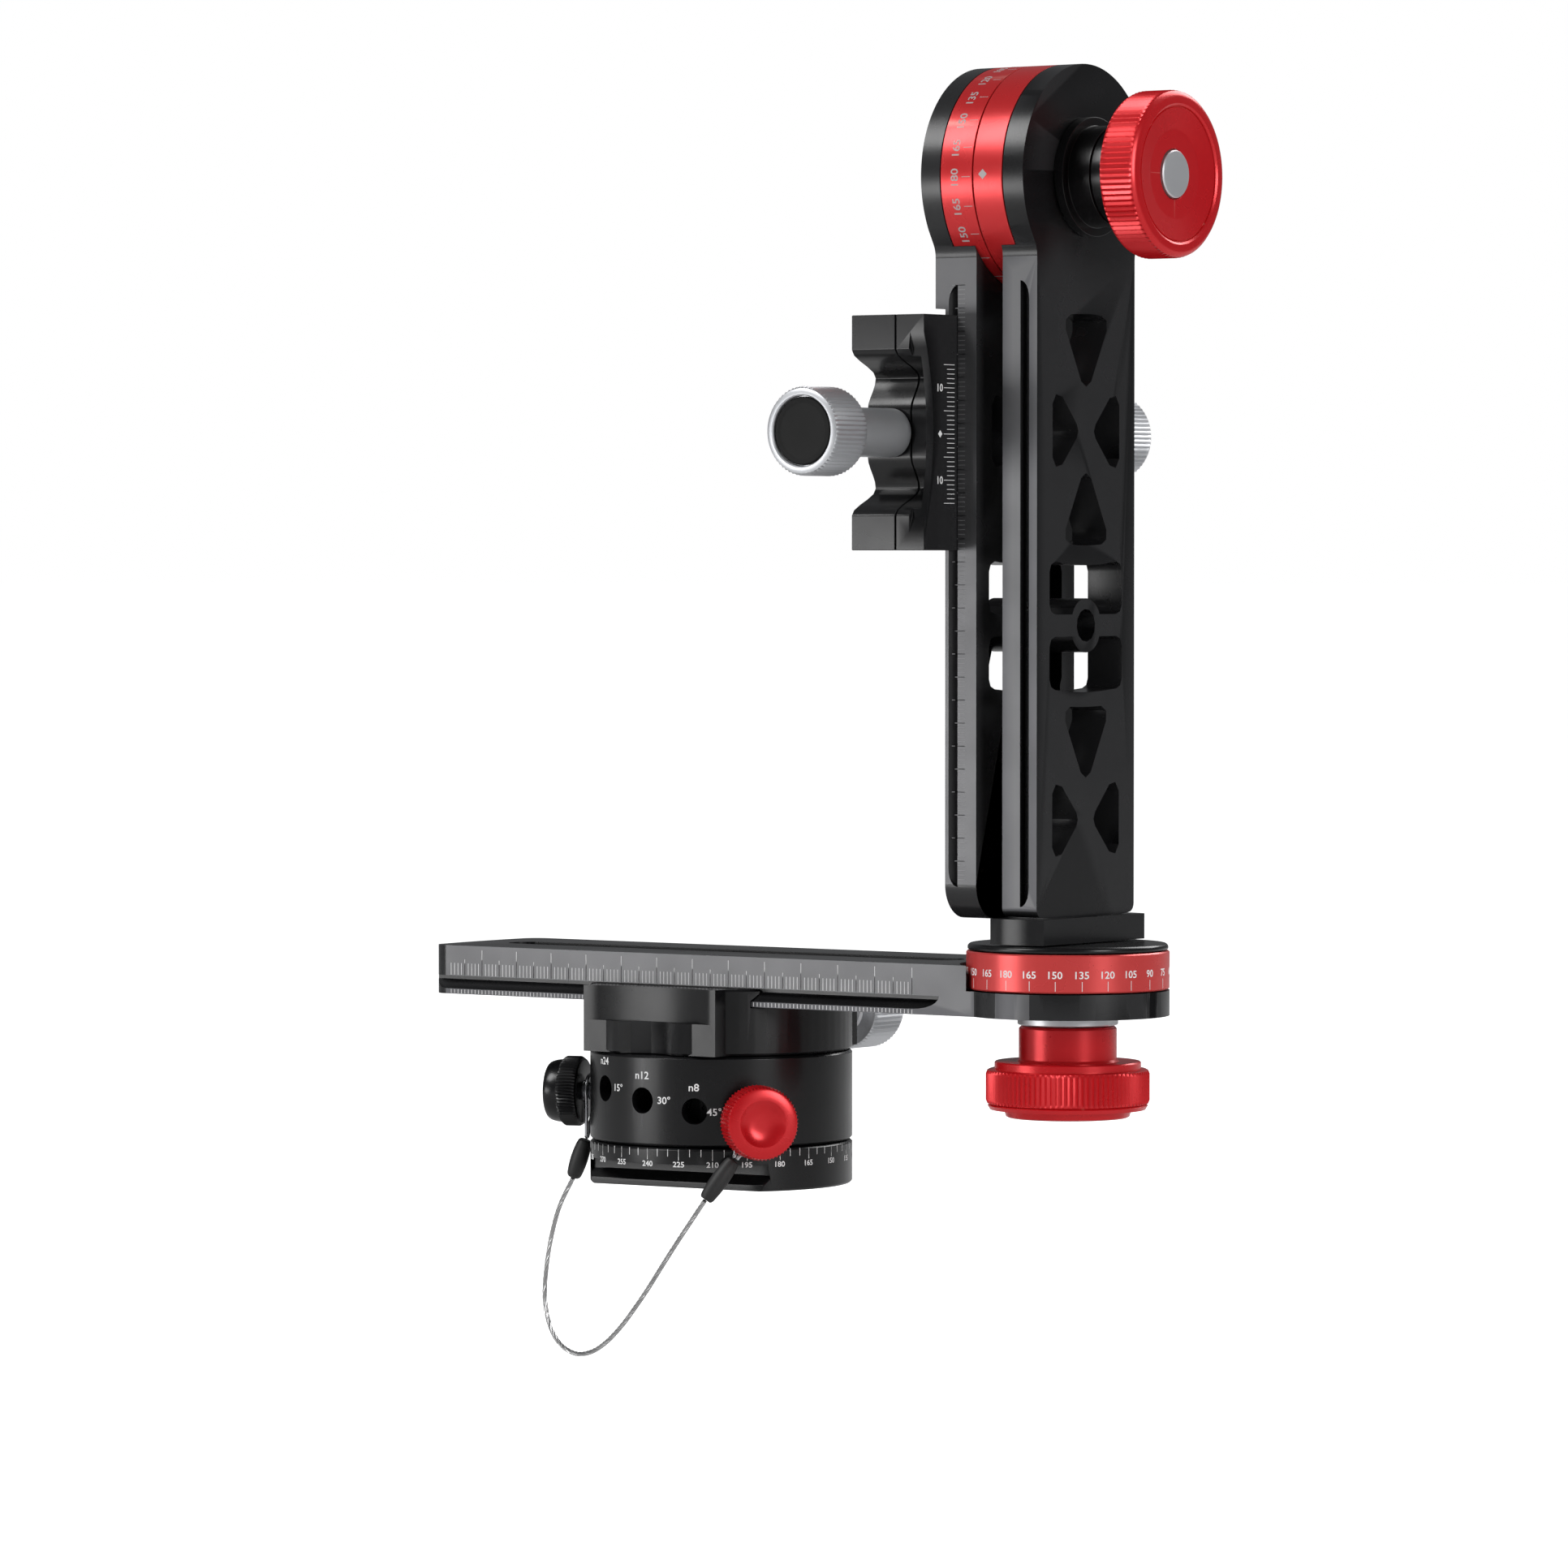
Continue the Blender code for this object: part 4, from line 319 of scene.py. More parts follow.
def smooth(points, step):
    """Points at even steps along a smooth curve through the given points, and its length."""
    points = [Vector(p) for p in points]
    ends = [points[0] * 2 - points[1]] + points + [points[-1] * 2 - points[-2]]
    fine = []
    for a, b, c, d in zip(ends, ends[1:], ends[2:], ends[3:]):
        for t in [i / 12 for i in range(12)]:
            fine.append((b * 2 + (c - a) * t + (a * 2 - b * 5 + c * 4 - d) * t ** 2
                         + (b * 3 - a - c * 3 + d) * t ** 3) / 2)
    fine.append(points[-1])
    total = sum((q - p).length for p, q in zip(fine, fine[1:]))
    count = max(2, round(total / step))
    out, done, target = [fine[0]], 0.0, total / count
    for p, q in zip(fine, fine[1:]):
        length = (q - p).length
        while done + length >= target - 0.000001 and len(out) < count:
            out.append(p.lerp(q, (target - done) / length if length else 0))
            target += total / count
        done += length
    return out + [fine[-1]], total


cable_left = LEFT_CRIMP_END + (LEFT_CRIMP_END - LEFT_CRIMP_TOP).normalized() * GAP
cable_right = RIGHT_CRIMP_END + (RIGHT_CRIMP_END - RIGHT_CRIMP_TOP).normalized() * GAP
cable_line, cable_length = smooth([cable_left, *CABLE_ROUTE, cable_right], CABLE_DIAMETER * 0.5)
print("tether", round(cable_length, 4), "m in", len(cable_line), "points")

# %% [markdown]
# A strand is a thin round wire on a helix about that line.  The two directions across the line
# are carried along it without twisting, so the helix keeps an even pitch round the bends.

# %% The tether's strands
def wire(name, points, radius, resolution=2):
    """A round wire through the points, made a closed mesh."""
    curve = bpy.data.curves.new(name, "CURVE")
    curve.dimensions = "3D"
    curve.bevel_depth = radius
    curve.bevel_resolution = resolution
    curve.use_fill_caps = True
    spline = curve.splines.new("POLY")
    spline.points.add(len(points) - 1)
    for point, place in zip(spline.points, points):
        point.co = (*place, 1)
    piece = bpy.data.objects.new(name, curve)
    bpy.context.scene.collection.objects.link(piece)
    select_only(piece)
    bpy.ops.object.convert(target="MESH")
    edit(piece, merge, face_out)
    return piece


def join_all(name, pieces):
    select_only(pieces[0])
    for piece in pieces:
        piece.select_set(True)
    bpy.ops.object.join()
    pieces[0].name = pieces[0].data.name = name
    return pieces[0]


def helix(line, radius, lay, start):
    ways = [(b - a).normalized() for a, b in zip(line, line[1:])]
    ways = [ways[0]] + [(a + b).normalized() for a, b in zip(ways, ways[1:])] + [ways[-1]]
    side = ways[0].orthogonal().normalized()
    along, out = 0.0, []
    for i, (spot, way) in enumerate(zip(line, ways)):
        side = (side - way * side.dot(way)).normalized()
        along += (spot - line[i - 1]).length if i else 0.0
        turn = start + 2 * pi * along / lay
        out.append(spot + (side * cos(turn) + way.cross(side) * sin(turn)) * radius)
    return out


strand_radius = CABLE_DIAMETER / 6
outer_strands = STRANDS - 1
strands = [wire("strand", cable_line, strand_radius)]
for i in range(outer_strands):
    strands.append(wire("strand", helix(cable_line, strand_radius * 2, LAY_LENGTH, 2 * pi * i / outer_strands),
                        strand_radius))
cable = join_all("tether_wire_rope", strands)
finish_piece(cable, WIRE, "tether_cable")
print("rope polygons", len(cable.data.polygons))

# %% [markdown]
# Each end of the rope is crimped in a black sleeve, and a teardrop of stiff wire goes from each
# sleeve round a stem: the left one round the lock screw, the right one round the index plunger.

# %% Eyes and sleeves
def lathe(name, profile, place=ON_PAN, steps=96):
    """Turn (radius, height) pairs about the Z of place.  A profile off the axis closes on itself."""
    edges = [(i, i + 1) for i in range(len(profile) - 1)]
    if profile[0][0] > 0 or profile[-1][0] > 0:
        edges.append((len(profile) - 1, 0))
    mesh = bpy.data.meshes.new(name)
    mesh.from_pydata([place @ Vector((r, 0, z)) for r, z in profile], edges, [])
    piece = bpy.data.objects.new(name, mesh)
    bpy.context.scene.collection.objects.link(piece)
    edit(piece, lambda: bpy.ops.mesh.spin(steps=steps, angle=2 * pi, center=place.translation,
                                          axis=place.to_3x3().col[2]), merge, face_out)
    return piece


EYE_LOCK = (-160.0, 0.0198)
EYE_INDEX = (-40.0, 0.01595)


def eye(name, turn, height, top, end, node):
    centre = round_the_pan(turn, height) @ Vector((0, 0, EYE_STAND_OFF))
    outward = Vector((cos(radians(turn)), sin(radians(turn)), 0))
    down = top - centre
    down = (down - outward * down.dot(outward)).normalized()
    across = outward.cross(down)
    bow = [centre + down * -cos(t) * EYE_RADIUS + across * sin(t) * EYE_RADIUS
           for t in (radians(a) for a in range(-115, 116, 23))]
    lead = (top - end).normalized()
    foot = top + lead * GAP * 2
    spread = across * (EYE_WIRE_RADIUS + GAP / 2)
    route = [foot - spread, foot - spread + lead * EYE_WIRE_RADIUS * 2] + bow
    route += [foot + spread + lead * EYE_WIRE_RADIUS * 2, foot + spread]
    return finish_piece(wire(name, smooth(route, EYE_WIRE_RADIUS)[0], EYE_WIRE_RADIUS, 4), STEEL, node)


def crimp(name, top, end, node):
    """Smooth sleeve, fullest at its middle and narrower at both ends."""
    length, waist, lip = (top - end).length, CRIMP_WAIST_RADIUS, GAP
    profile = [(0, length), (waist - lip, length), (waist, length - lip)]
    for share in (0.88, 0.76, 0.64, 0.52, 0.4, 0.28, 0.16, 0.08):
        full = sin(pi * share) ** 0.8
        profile.append((waist + (CRIMP_RADIUS - waist) * full, length * share))
    profile += [(waist, lip), (waist - lip, 0), (0, 0)]
    return finish_piece(lathe(name, profile, facing(top - end, end), 40), SLEEVE, node)


tether_pieces = [eye("wire_eye_left", *EYE_LOCK, LEFT_CRIMP_TOP, LEFT_CRIMP_END, "tether_eye_left"),
                 eye("wire_eye_right", *EYE_INDEX, RIGHT_CRIMP_TOP, RIGHT_CRIMP_END, "tether_eye_right"),
                 crimp("crimp_left", LEFT_CRIMP_TOP, LEFT_CRIMP_END, "tether_sleeve_left"),
                 crimp("crimp_right", RIGHT_CRIMP_TOP, RIGHT_CRIMP_END, "tether_sleeve_right")]
print("tether pieces", [piece.name for piece in tether_pieces])

# %% [markdown]
# The milled pieces keep their CAD shape, but a milled edge is never a knife edge.  A copy of each
# is cleaned, its round walls get more points, and every sharp edge is softened by a fine bevel.

# %% Dressing a milled piece
def cad_copy(node, name):
    piece = frame["nodes"][node].copy()
    piece.data = piece.data.copy()
    piece.name = piece.data.name = name
    piece.parent = None
    piece.matrix_world = Matrix()
    bpy.context.scene.collection.objects.link(piece)
    edit(piece, lambda: bpy.ops.mesh.remove_doubles(threshold=0.00002),
         lambda: bpy.ops.mesh.customdata_custom_splitnormals_clear(),
         lambda: bpy.ops.mesh.dissolve_limited(angle_limit=radians(1.0)), face_out)
    return piece


def refine_round(piece, place, steps, cuts=3, least=0.0015):
    """Put more points on the circles about the Z of place, and move them onto the circle."""
    inverse, widest = place.inverted(), 2 * pi / steps * 1.2
    shape = bmesh.new()
    shape.from_mesh(piece.data)

    def polar(spot):
        local = inverse @ spot
        return sqrt(local.x ** 2 + local.y ** 2), atan2(local.y, local.x), local.z

    chosen, circles = [], set()
    for edge in shape.edges:
        (ra, ta, za), (rb, tb, zb) = (polar(v.co) for v in edge.verts)
        turn = abs((ta - tb + pi) % (2 * pi) - pi)
        if ra > least and abs(ra - rb) < 0.00003 and abs(za - zb) < 0.00003 and 0 < turn < widest:
            chosen.append(edge)
            circles.add((round(ra, 5), round(za, 5)))
    made = bmesh.ops.subdivide_edges(shape, edges=chosen, cuts=cuts, use_grid_fill=True)
    for point in made["geom_inner"]:
        if not isinstance(point, bmesh.types.BMVert):
            continue
        r, t, z = polar(point.co)
        near = [c for c in circles if abs(c[1] - z) < 0.00005 and -0.00003 <= c[0] - r < c[0] * 0.05 + 0.00003]
        if near:
            best = min(near, key=lambda c: c[0] - r)[0]
            point.co = place @ Vector((best * cos(t), best * sin(t), z))
    shape.to_mesh(piece.data)
    shape.free()
    return len(chosen)


def dress(node, name, finish, rounds=(), bevel=0.00022):
    """A cleaned copy of a CAD node, with round walls refined and edges softened."""
    piece = cad_copy(node, name)
    for place, steps in rounds:
        refine_round(piece, place, steps)
    if bevel:
        soften(piece, bevel)
    return finish_piece(piece, finish, node)


print("helpers ready")

# %% [markdown]
# The base ring stays on the tripod.  It keeps its dovetail foot and thread bush, so its CAD copy
# is dressed.  The housing above it turns, and has a row of four holes through which the index
# plunger reaches the core: it is turned afresh and then drilled, to get clean round rims.

# %% Base ring and housing
ROTATOR_RADIUS = 0.0296
HOUSING_BOTTOM = 0.0100
HOUSING_TOP = 0.03005
CAVITY_RADIUS = 0.0200
WEB_BOTTOM = 0.0275
WEB_HOLE = 0.0039
EDGE = 0.0005
OVERRUN = 0.002
INDEX_HOLE_RADIUS = 0.0029
INDEX_HOLES = ((-115.0, 0.0221), (-90.0, 0.02005), (-65.0, 0.0180), (-40.0, 0.01595))
LOCK_HOLE = (-160.0, 0.0198, 0.0025)


def drill(piece, turn, height, radius):
    """Bore a round hole from the outside into the cavity, square to the wall."""
    depth = ROTATOR_RADIUS - CAVITY_RADIUS + OVERRUN * 2
    place = round_the_pan(turn, height) @ Matrix.Translation(UP * (ROTATOR_RADIUS + CAVITY_RADIUS) / 2)
    bpy.ops.mesh.primitive_cylinder_add(vertices=48, radius=radius, depth=depth)
    bit = bpy.context.object
    bit.matrix_world = place
    step = piece.modifiers.new("hole", "BOOLEAN")
    step.operation, step.solver, step.object = "DIFFERENCE", "EXACT", bit
    apply_all(piece)
    bpy.data.objects.remove(bit, do_unlink=True)


base_ring = dress("base_ring", "base_ring_turned", BLACK, [(ON_PAN, 32)])
thread_bush = dress("thread_bush", "thread_bush_turned", STEEL, [(ON_PAN, 32)])
housing = lathe("housing_turned", [
    (WEB_HOLE, HOUSING_TOP), (ROTATOR_RADIUS - EDGE, HOUSING_TOP), (ROTATOR_RADIUS, HOUSING_TOP - EDGE),
    (ROTATOR_RADIUS, HOUSING_BOTTOM + EDGE), (ROTATOR_RADIUS - EDGE, HOUSING_BOTTOM),
    (CAVITY_RADIUS, HOUSING_BOTTOM), (CAVITY_RADIUS, WEB_BOTTOM), (WEB_HOLE, WEB_BOTTOM)], steps=144)
for turn, height in INDEX_HOLES:
    drill(housing, turn, height, INDEX_HOLE_RADIUS)
drill(housing, *LOCK_HOLE)
soften(housing, 0.0002, angle=40)
finish_piece(housing, BLACK, "rotator_housing")
print("housing polygons", len(housing.data.polygons))

# %% [markdown]
# All the knobs are turned and then knurled with straight ridges, so that gloved fingers can hold
# them.  The profile is spun with four steps to each ridge, and the points of the band then move
# in and out along a wave, which gives rounded ridges at even spacing.

# %% Knurled knobs
def knurl(piece, place, radius, depth, ridges, low, high):
    """Press straight ridges into the wall of a turned piece between two heights."""
    inverse = place.inverted()
    for point in piece.data.vertices:
        local = inverse @ point.co
        r = sqrt(local.x ** 2 + local.y ** 2)
        if low < local.z < high and r > radius - 0.00001:
            share = (1 - cos(ridges * atan2(local.y, local.x))) / 2
            scale = (r - depth * share) / r
            point.co = place @ Vector((local.x * scale, local.y * scale, local.z))


def knurled_knob(name, profile, place, radius, depth, ridges, low, high, finish, node):
    piece = lathe(name, profile, place, ridges * 4)
    knurl(piece, place, radius, depth, ridges, low, high)
    return finish_piece(piece, finish, node)


SILVER_STEM, SILVER_STEM_LENGTH = 0.00535, 0.0197
SILVER_RADIUS, SILVER_LENGTH, SILVER_RIDGES = 0.0096, 0.0118, 60
SILVER_CAP, SILVER_CAP_DEPTH, SILVER_GRIP = 0.0073, 0.0015, 0.0160
KNURL_DEPTH = 0.00038


def silver_knob(name, node, place, stem, screw_radius):
    """Knob with a smooth stem, a knurled head and a black cap sunk in its face."""
    top, radius, cap = stem + SILVER_LENGTH, SILVER_RADIUS, SILVER_CAP + GAP
    pocket, bore, end = top - SILVER_CAP_DEPTH - GAP, screw_radius + GAP, SILVER_GRIP + GAP
    profile = [(0, pocket), (cap, pocket), (cap, top - EDGE / 2), (cap + EDGE / 2, top),
               (radius - EDGE * 2.2, top), (radius - EDGE, top - EDGE / 2), (radius, top - EDGE * 2),
               (radius, stem + EDGE * 2), (radius - EDGE, stem + EDGE / 2), (radius - EDGE * 2.2, stem),
               (SILVER_STEM + EDGE, stem), (SILVER_STEM, stem - EDGE), (SILVER_STEM, EDGE),
               (SILVER_STEM - EDGE, 0), (bore, 0), (bore, end), (0, end)]
    knurled_knob(name, profile, place, radius, KNURL_DEPTH, SILVER_RIDGES, stem + EDGE, top - EDGE,
                 SILVER, node)
    rim, dish = SILVER_CAP, top - EDGE
    cap_piece = lathe(name + "_cap", [
        (0, dish - EDGE / 2), (rim - EDGE * 3, dish - EDGE / 2), (rim - EDGE * 2, dish), (rim - EDGE / 2, dish),
        (rim, dish - EDGE / 2), (rim, pocket + GAP), (0, pocket + GAP)], place, 64)
    finish_piece(cap_piece, MATT_CAP, node + "_cap")


LOWER_KNOB = facing(NORTH, (0, 0.0273, 0.0370))
CAMERA_JAW_KNOB = facing(-NORTH, (0.0656, -0.0258, 0.1680))
ARM_JAW_KNOB = facing(NORTH, (0.0702, 0.0243, 0.1680))
silver_knob("lower_knob", "lower_clamp_knob", LOWER_KNOB, SILVER_STEM_LENGTH, 0.0025)
silver_knob("camera_knob", "camera_jaw_knob", CAMERA_JAW_KNOB, 0.0219, 0.0020)
silver_knob("arm_knob", "arm_jaw_knob", ARM_JAW_KNOB, SILVER_STEM_LENGTH, 0.0020)
print("silver knobs made")

# %% [markdown]
# The small red knob screws the index plunger in and out.  Its face is a wide shallow dish.  The
# black one opposite locks the pan, and has a smooth dome in front of its knurled band.

# %% Index knob and lock knob
INDEX_AXIS, LOCK_AXIS = round_the_pan(*EYE_INDEX), round_the_pan(*EYE_LOCK)
INDEX_RADIUS, INDEX_BACK, INDEX_FACE, INDEX_RIDGES = 0.00825, 0.0324, 0.0404, 60
DISH_RADIUS, DISH_DEPTH, DISH_CURVE = 0.00525, 0.0014, 3.4
LOCK_RADIUS, LOCK_BACK, LOCK_FACE, LOCK_BAND, LOCK_RIDGES = 0.00795, 0.0324, 0.0405, 0.0372, 64
LOCK_DOME = 0.0060

bore, grip = 0.0029, INDEX_BACK + 0.0053
bowl = [(DISH_RADIUS * k / 9, INDEX_FACE - DISH_DEPTH * (1 - (k / 9) ** DISH_CURVE)) for k in range(10)]
knurled_knob("index_knob_turned", bowl + [
    (INDEX_RADIUS - EDGE * 2, INDEX_FACE),
    (INDEX_RADIUS - EDGE, INDEX_FACE - EDGE / 2), (INDEX_RADIUS, INDEX_FACE - EDGE * 2),
    (INDEX_RADIUS, INDEX_BACK + EDGE * 2), (INDEX_RADIUS - EDGE, INDEX_BACK + EDGE / 2),
    (INDEX_RADIUS - EDGE * 2, INDEX_BACK), (bore, INDEX_BACK), (bore, grip), (0, grip)],
    INDEX_AXIS, INDEX_RADIUS, KNURL_DEPTH, INDEX_RIDGES, INDEX_BACK + EDGE, INDEX_FACE - EDGE, RED, "index_knob")
bpy.data.objects["index_knob_turned"].data.materials[0] = RED_DISH

neck = LOCK_RADIUS - EDGE * 1.6
dome = [(LOCK_DOME + (neck - LOCK_DOME) * cos(radians(t)), LOCK_BAND + (LOCK_FACE - LOCK_BAND) * sin(radians(t)))
        for t in range(90, -1, -10)]
bore, grip = 0.0025, LOCK_BACK + 0.0048
knurled_knob("lock_knob_turned", [(0, LOCK_FACE)] + dome + [
    (LOCK_RADIUS - EDGE, LOCK_BAND - EDGE / 3), (LOCK_RADIUS, LOCK_BAND - EDGE * 1.5),
    (LOCK_RADIUS, LOCK_BACK + EDGE * 2), (LOCK_RADIUS - EDGE, LOCK_BACK + EDGE / 2),
    (LOCK_RADIUS - EDGE * 2, LOCK_BACK), (bore, LOCK_BACK), (bore, grip), (0, grip)],
    LOCK_AXIS, LOCK_RADIUS, KNURL_DEPTH, LOCK_RIDGES, LOCK_BACK + EDGE, LOCK_BAND - EDGE / 2, BLACK, "pan_lock_knob")


def threaded(name, node, radius, low, high, place, pitch=0.0005):
    """Round rod with fine thread ridges between two chamfered ends."""
    deep = radius - pitch * 0.45
    profile, z = [(0, high), (deep, high), (radius, high - EDGE)], high - EDGE - pitch / 2
    while z > low + EDGE + pitch:
        profile += [(deep, z), (radius, z - pitch / 2)]
        z -= pitch
    profile += [(radius, low + EDGE), (deep, low), (0, low)]
    return finish_piece(lathe(name, profile, place, 40), STEEL, node)


threaded("index_plunger_turned", "index_plunger", 0.0026, 0.0204, INDEX_BACK + 0.0049, INDEX_AXIS)
threaded("lock_screw_turned", "pan_lock_screw", 0.0022, 0.0228, LOCK_BACK + 0.0045, LOCK_AXIS)
print("index and lock knobs made")

# %% [markdown]
# The hub has the largest bright piece that is seen: a red scale ring, and below the rail the red
# knob that locks the hub.  Both are turned, with every edge broken by a small chamfer.

# %% Hub ring, washer and knob
HUB_RADIUS, HUB_RING_BORE, HUB_RING_LOW, HUB_RING_TOP = 0.0222, 0.0150, 0.0470, 0.05533
WASHER_RADIUS, WASHER_BORE, WASHER_LOW, WASHER_TOP = 0.0110, 0.0039, 0.03909, 0.04089


def ring(name, node, radius, bore, low, top, place, finish, chamfer=0.0003, steps=144):
    profile = [(bore, low), (radius - chamfer, low), (radius, low + chamfer), (radius, top - chamfer),
               (radius - chamfer, top), (bore, top)]
    return finish_piece(lathe(name, profile, place, steps), finish, node)


ring("hub_ring_turned", "hub_scale_ring", HUB_RADIUS, HUB_RING_BORE, HUB_RING_LOW, HUB_RING_TOP, ON_HUB, RED)
ring("hub_washer_turned", "hub_washer", WASHER_RADIUS, WASHER_BORE, WASHER_LOW, WASHER_TOP, ON_HUB, SILVER, 0.0002, 96)

STEM, COLLAR, KNOB, LIP, BOSS = 0.0107, 0.0160, 0.0179, 0.0175, 0.0140
KNOB_TOP, COLLAR_TOP, BAND_TOP, BAND_LOW, BOSS_TOP, KNOB_END = 0.03879, 0.03109, 0.02939, 0.02169, 0.02059, 0.01879
KNOB_RIDGES, HUB_BORE = 92, 0.0039
knurled_knob("hub_knob_turned", [
    (HUB_BORE, KNOB_TOP), (STEM - EDGE, KNOB_TOP), (STEM, KNOB_TOP - EDGE), (STEM, COLLAR_TOP + EDGE),
    (STEM + EDGE, COLLAR_TOP), (COLLAR - EDGE / 2, COLLAR_TOP), (COLLAR, COLLAR_TOP - EDGE / 2),
    (COLLAR, BAND_TOP), (KNOB - EDGE * 1.6, BAND_TOP), (KNOB - EDGE * 0.6, BAND_TOP - EDGE * 0.5),
    (KNOB, BAND_TOP - EDGE * 2), (KNOB, BAND_LOW + EDGE * 2), (KNOB - EDGE * 0.6, BAND_LOW + EDGE * 0.5),
    (KNOB - EDGE * 1.6, BAND_LOW), (LIP - EDGE / 2, BAND_LOW), (LIP, BAND_LOW - EDGE / 2),
    (LIP - EDGE, BOSS_TOP), (BOSS, BOSS_TOP), (BOSS - EDGE, KNOB_END + EDGE / 2), (BOSS - EDGE * 2, KNOB_END),
    (0, KNOB_END), (0, BAND_LOW - GAP), (HUB_BORE, BAND_LOW - GAP)],
    ON_HUB, KNOB, 0.00045, KNOB_RIDGES, BAND_LOW + EDGE / 4, BAND_TOP - EDGE / 4, RED, "hub_knob")
hub_cap = dress("hub_cap", "hub_cap_turned", BLACK, [(ON_HUB, 32)])
swivel_block = dress("swivel_block", "swivel_block_milled", BLACK, [(ON_HUB, 32)])
print("hub made")

# %% [markdown]
# The tilt knob faces the viewer's right.  Its front has a round raised rim, a fine groove and a
# shallow dish, and a silver disc fills the middle.  Its red stem is painted black: painted shade, and a painted
# reflection of the black collar.

# %% Tilt knob
def paint_sides(piece, finish, test):
    piece.data.materials.append(finish)
    chosen = 0
    for face in piece.data.polygons:
        if test(face.center, face.normal):
            face.material_index = 1
            chosen += 1
    return chosen


TILT_STEM, TILT_RADIUS, TILT_STEP, DISH_FLAT = 0.0107, 0.0181, 0.0146, 0.0095
TILT_STEM_END, TILT_BACK, TILT_FACE, DISH_TOP, DISH_FLOOR = 0.1073, 0.1140, 0.1231, 0.1227, 0.1218
DISC_RADIUS, DISC_FACE, DISC_DEPTH, AXLE_BORE, AXLE_ROOM_END = 0.00517, 0.1223, 0.0016, 0.0049, 0.1201
room, floor = DISC_RADIUS + GAP, DISC_FACE - DISC_DEPTH - GAP
knurled_knob("tilt_knob_turned", [
    (0, floor), (room, floor), (room, DISH_FLOOR - GAP / 2), (room + GAP / 2, DISH_FLOOR),
    (DISH_FLAT - GAP, DISH_FLOOR), (DISH_FLAT + GAP, DISH_FLOOR + GAP / 4),
    (TILT_STEP - GAP, DISH_TOP), (TILT_STEP - GAP / 2, DISH_TOP - GAP), (TILT_STEP, DISH_TOP - GAP),
    (TILT_STEP + GAP / 2, TILT_FACE - GAP), (TILT_STEP + GAP * 2, TILT_FACE),
    (TILT_RADIUS - EDGE * 3, TILT_FACE), (TILT_RADIUS - EDGE * 1.5, TILT_FACE - EDGE / 2),
    (TILT_RADIUS - EDGE / 2, TILT_FACE - EDGE * 1.5), (TILT_RADIUS, TILT_FACE - EDGE * 3),
    (TILT_RADIUS, TILT_BACK + EDGE * 2), (TILT_RADIUS - EDGE * 0.7, TILT_BACK + EDGE * 0.6),
    (TILT_RADIUS - EDGE * 1.8, TILT_BACK), (TILT_STEM + EDGE, TILT_BACK), (TILT_STEM, TILT_BACK - EDGE),
    (TILT_STEM, TILT_STEM_END), (AXLE_BORE, TILT_STEM_END), (AXLE_BORE, AXLE_ROOM_END), (0, AXLE_ROOM_END)],
    ON_TILT, TILT_RADIUS, 0.00045, KNOB_RIDGES, TILT_BACK + EDGE / 2, TILT_FACE - EDGE * 1.5, RED, "tilt_knob")
# The red stem's faces take black metal: painted shade, and a painted reflection of the collar.
print("dark faces of the stem",
      paint_sides(bpy.data.objects["tilt_knob_turned"], BLACK, lambda c, n: c.x < TILT_BACK - EDGE / 2))
disc = lathe("tilt_disc_turned", [
    (0, DISC_FACE), (DISC_RADIUS - EDGE / 2, DISC_FACE), (DISC_RADIUS, DISC_FACE - EDGE / 2),
    (DISC_RADIUS, DISC_FACE - DISC_DEPTH), (0, DISC_FACE - DISC_DEPTH)], ON_TILT, 64)
finish_piece(disc, SILVER, "tilt_knob_cap")
tilt_collar = dress("tilt_collar", "tilt_collar_turned", BLACK, [(ON_TILT, 24)])
tilt_index_ring = dress("tilt_index_ring", "tilt_index_turned", RED, [(ON_TILT, 32)])
tilt_scale_ring = dress("tilt_scale_ring", "tilt_scale_turned", RED, [(ON_TILT, 32)])
print("tilt head made")

# %% [markdown]
# The rail, the upright and the arm share one dovetail section.  Their faces that look sideways
# take a lighter grey satin metal, a painted reflection of the low strip lamp, while the rest stays black.

# %% Rails
def at_hole(x, y):
    return Matrix.Translation((x, y, 0))


RAIL_SIDE, PAINTED_REFLECTION_TOP = 0.0188, 0.2045
RAIL_CORNER, ARM_CORNER = (-0.0644, 0.0144), (0.0114, 0.0699)
WINDOW_CENTRE = facing(EAST, (0, 0, 0.1262), side=NORTH)
rail = dress("lower_rail", "rail_milled", BLACK,
             [(ON_HUB, 20), (at_hole(-0.0558, 0), 12), (at_hole(0.0618, 0), 12)]
             + [(at_hole(RAIL_CORNER[0], side * RAIL_CORNER[1]), 20) for side in (1, -1)])
upright = dress("upright_beam", "upright_milled", BLACK, [(ON_TILT, 20), (WINDOW_CENTRE, 16)])
arm = dress("camera_arm", "arm_milled", BLACK, [(ON_TILT, 20), (WINDOW_CENTRE, 16)] + [
    (facing(EAST, (0, side * ARM_CORNER[0], ARM_CORNER[1]), side=NORTH), 20) for side in (1, -1)])


def bare(low=-1.0):
    """Test for a sideways face that takes the painted reflection, and whose middle is above a height."""
    return lambda c, n: abs(n.y) > 0.98 and abs(c.y) > RAIL_SIDE and low < c.z < PAINTED_REFLECTION_TOP


# The sideways faces take the lighter grey, which is a painted reflection of the strip lamp.
print("grey faces", paint_sides(rail, PAINTED_REFLECTION_GREY, lambda c, n: bare()(c, n) and c.x > RAIL_CORNER[0]),
      paint_sides(upright, PAINTED_REFLECTION_GREY, bare()), paint_sides(arm, PAINTED_REFLECTION_GREY, bare(ARM_CORNER[1])))

# %% [markdown]
# The clamps are milled from one profile each.  Their moving jaws are separate pieces, and the
# joints between them stay open by a hair.

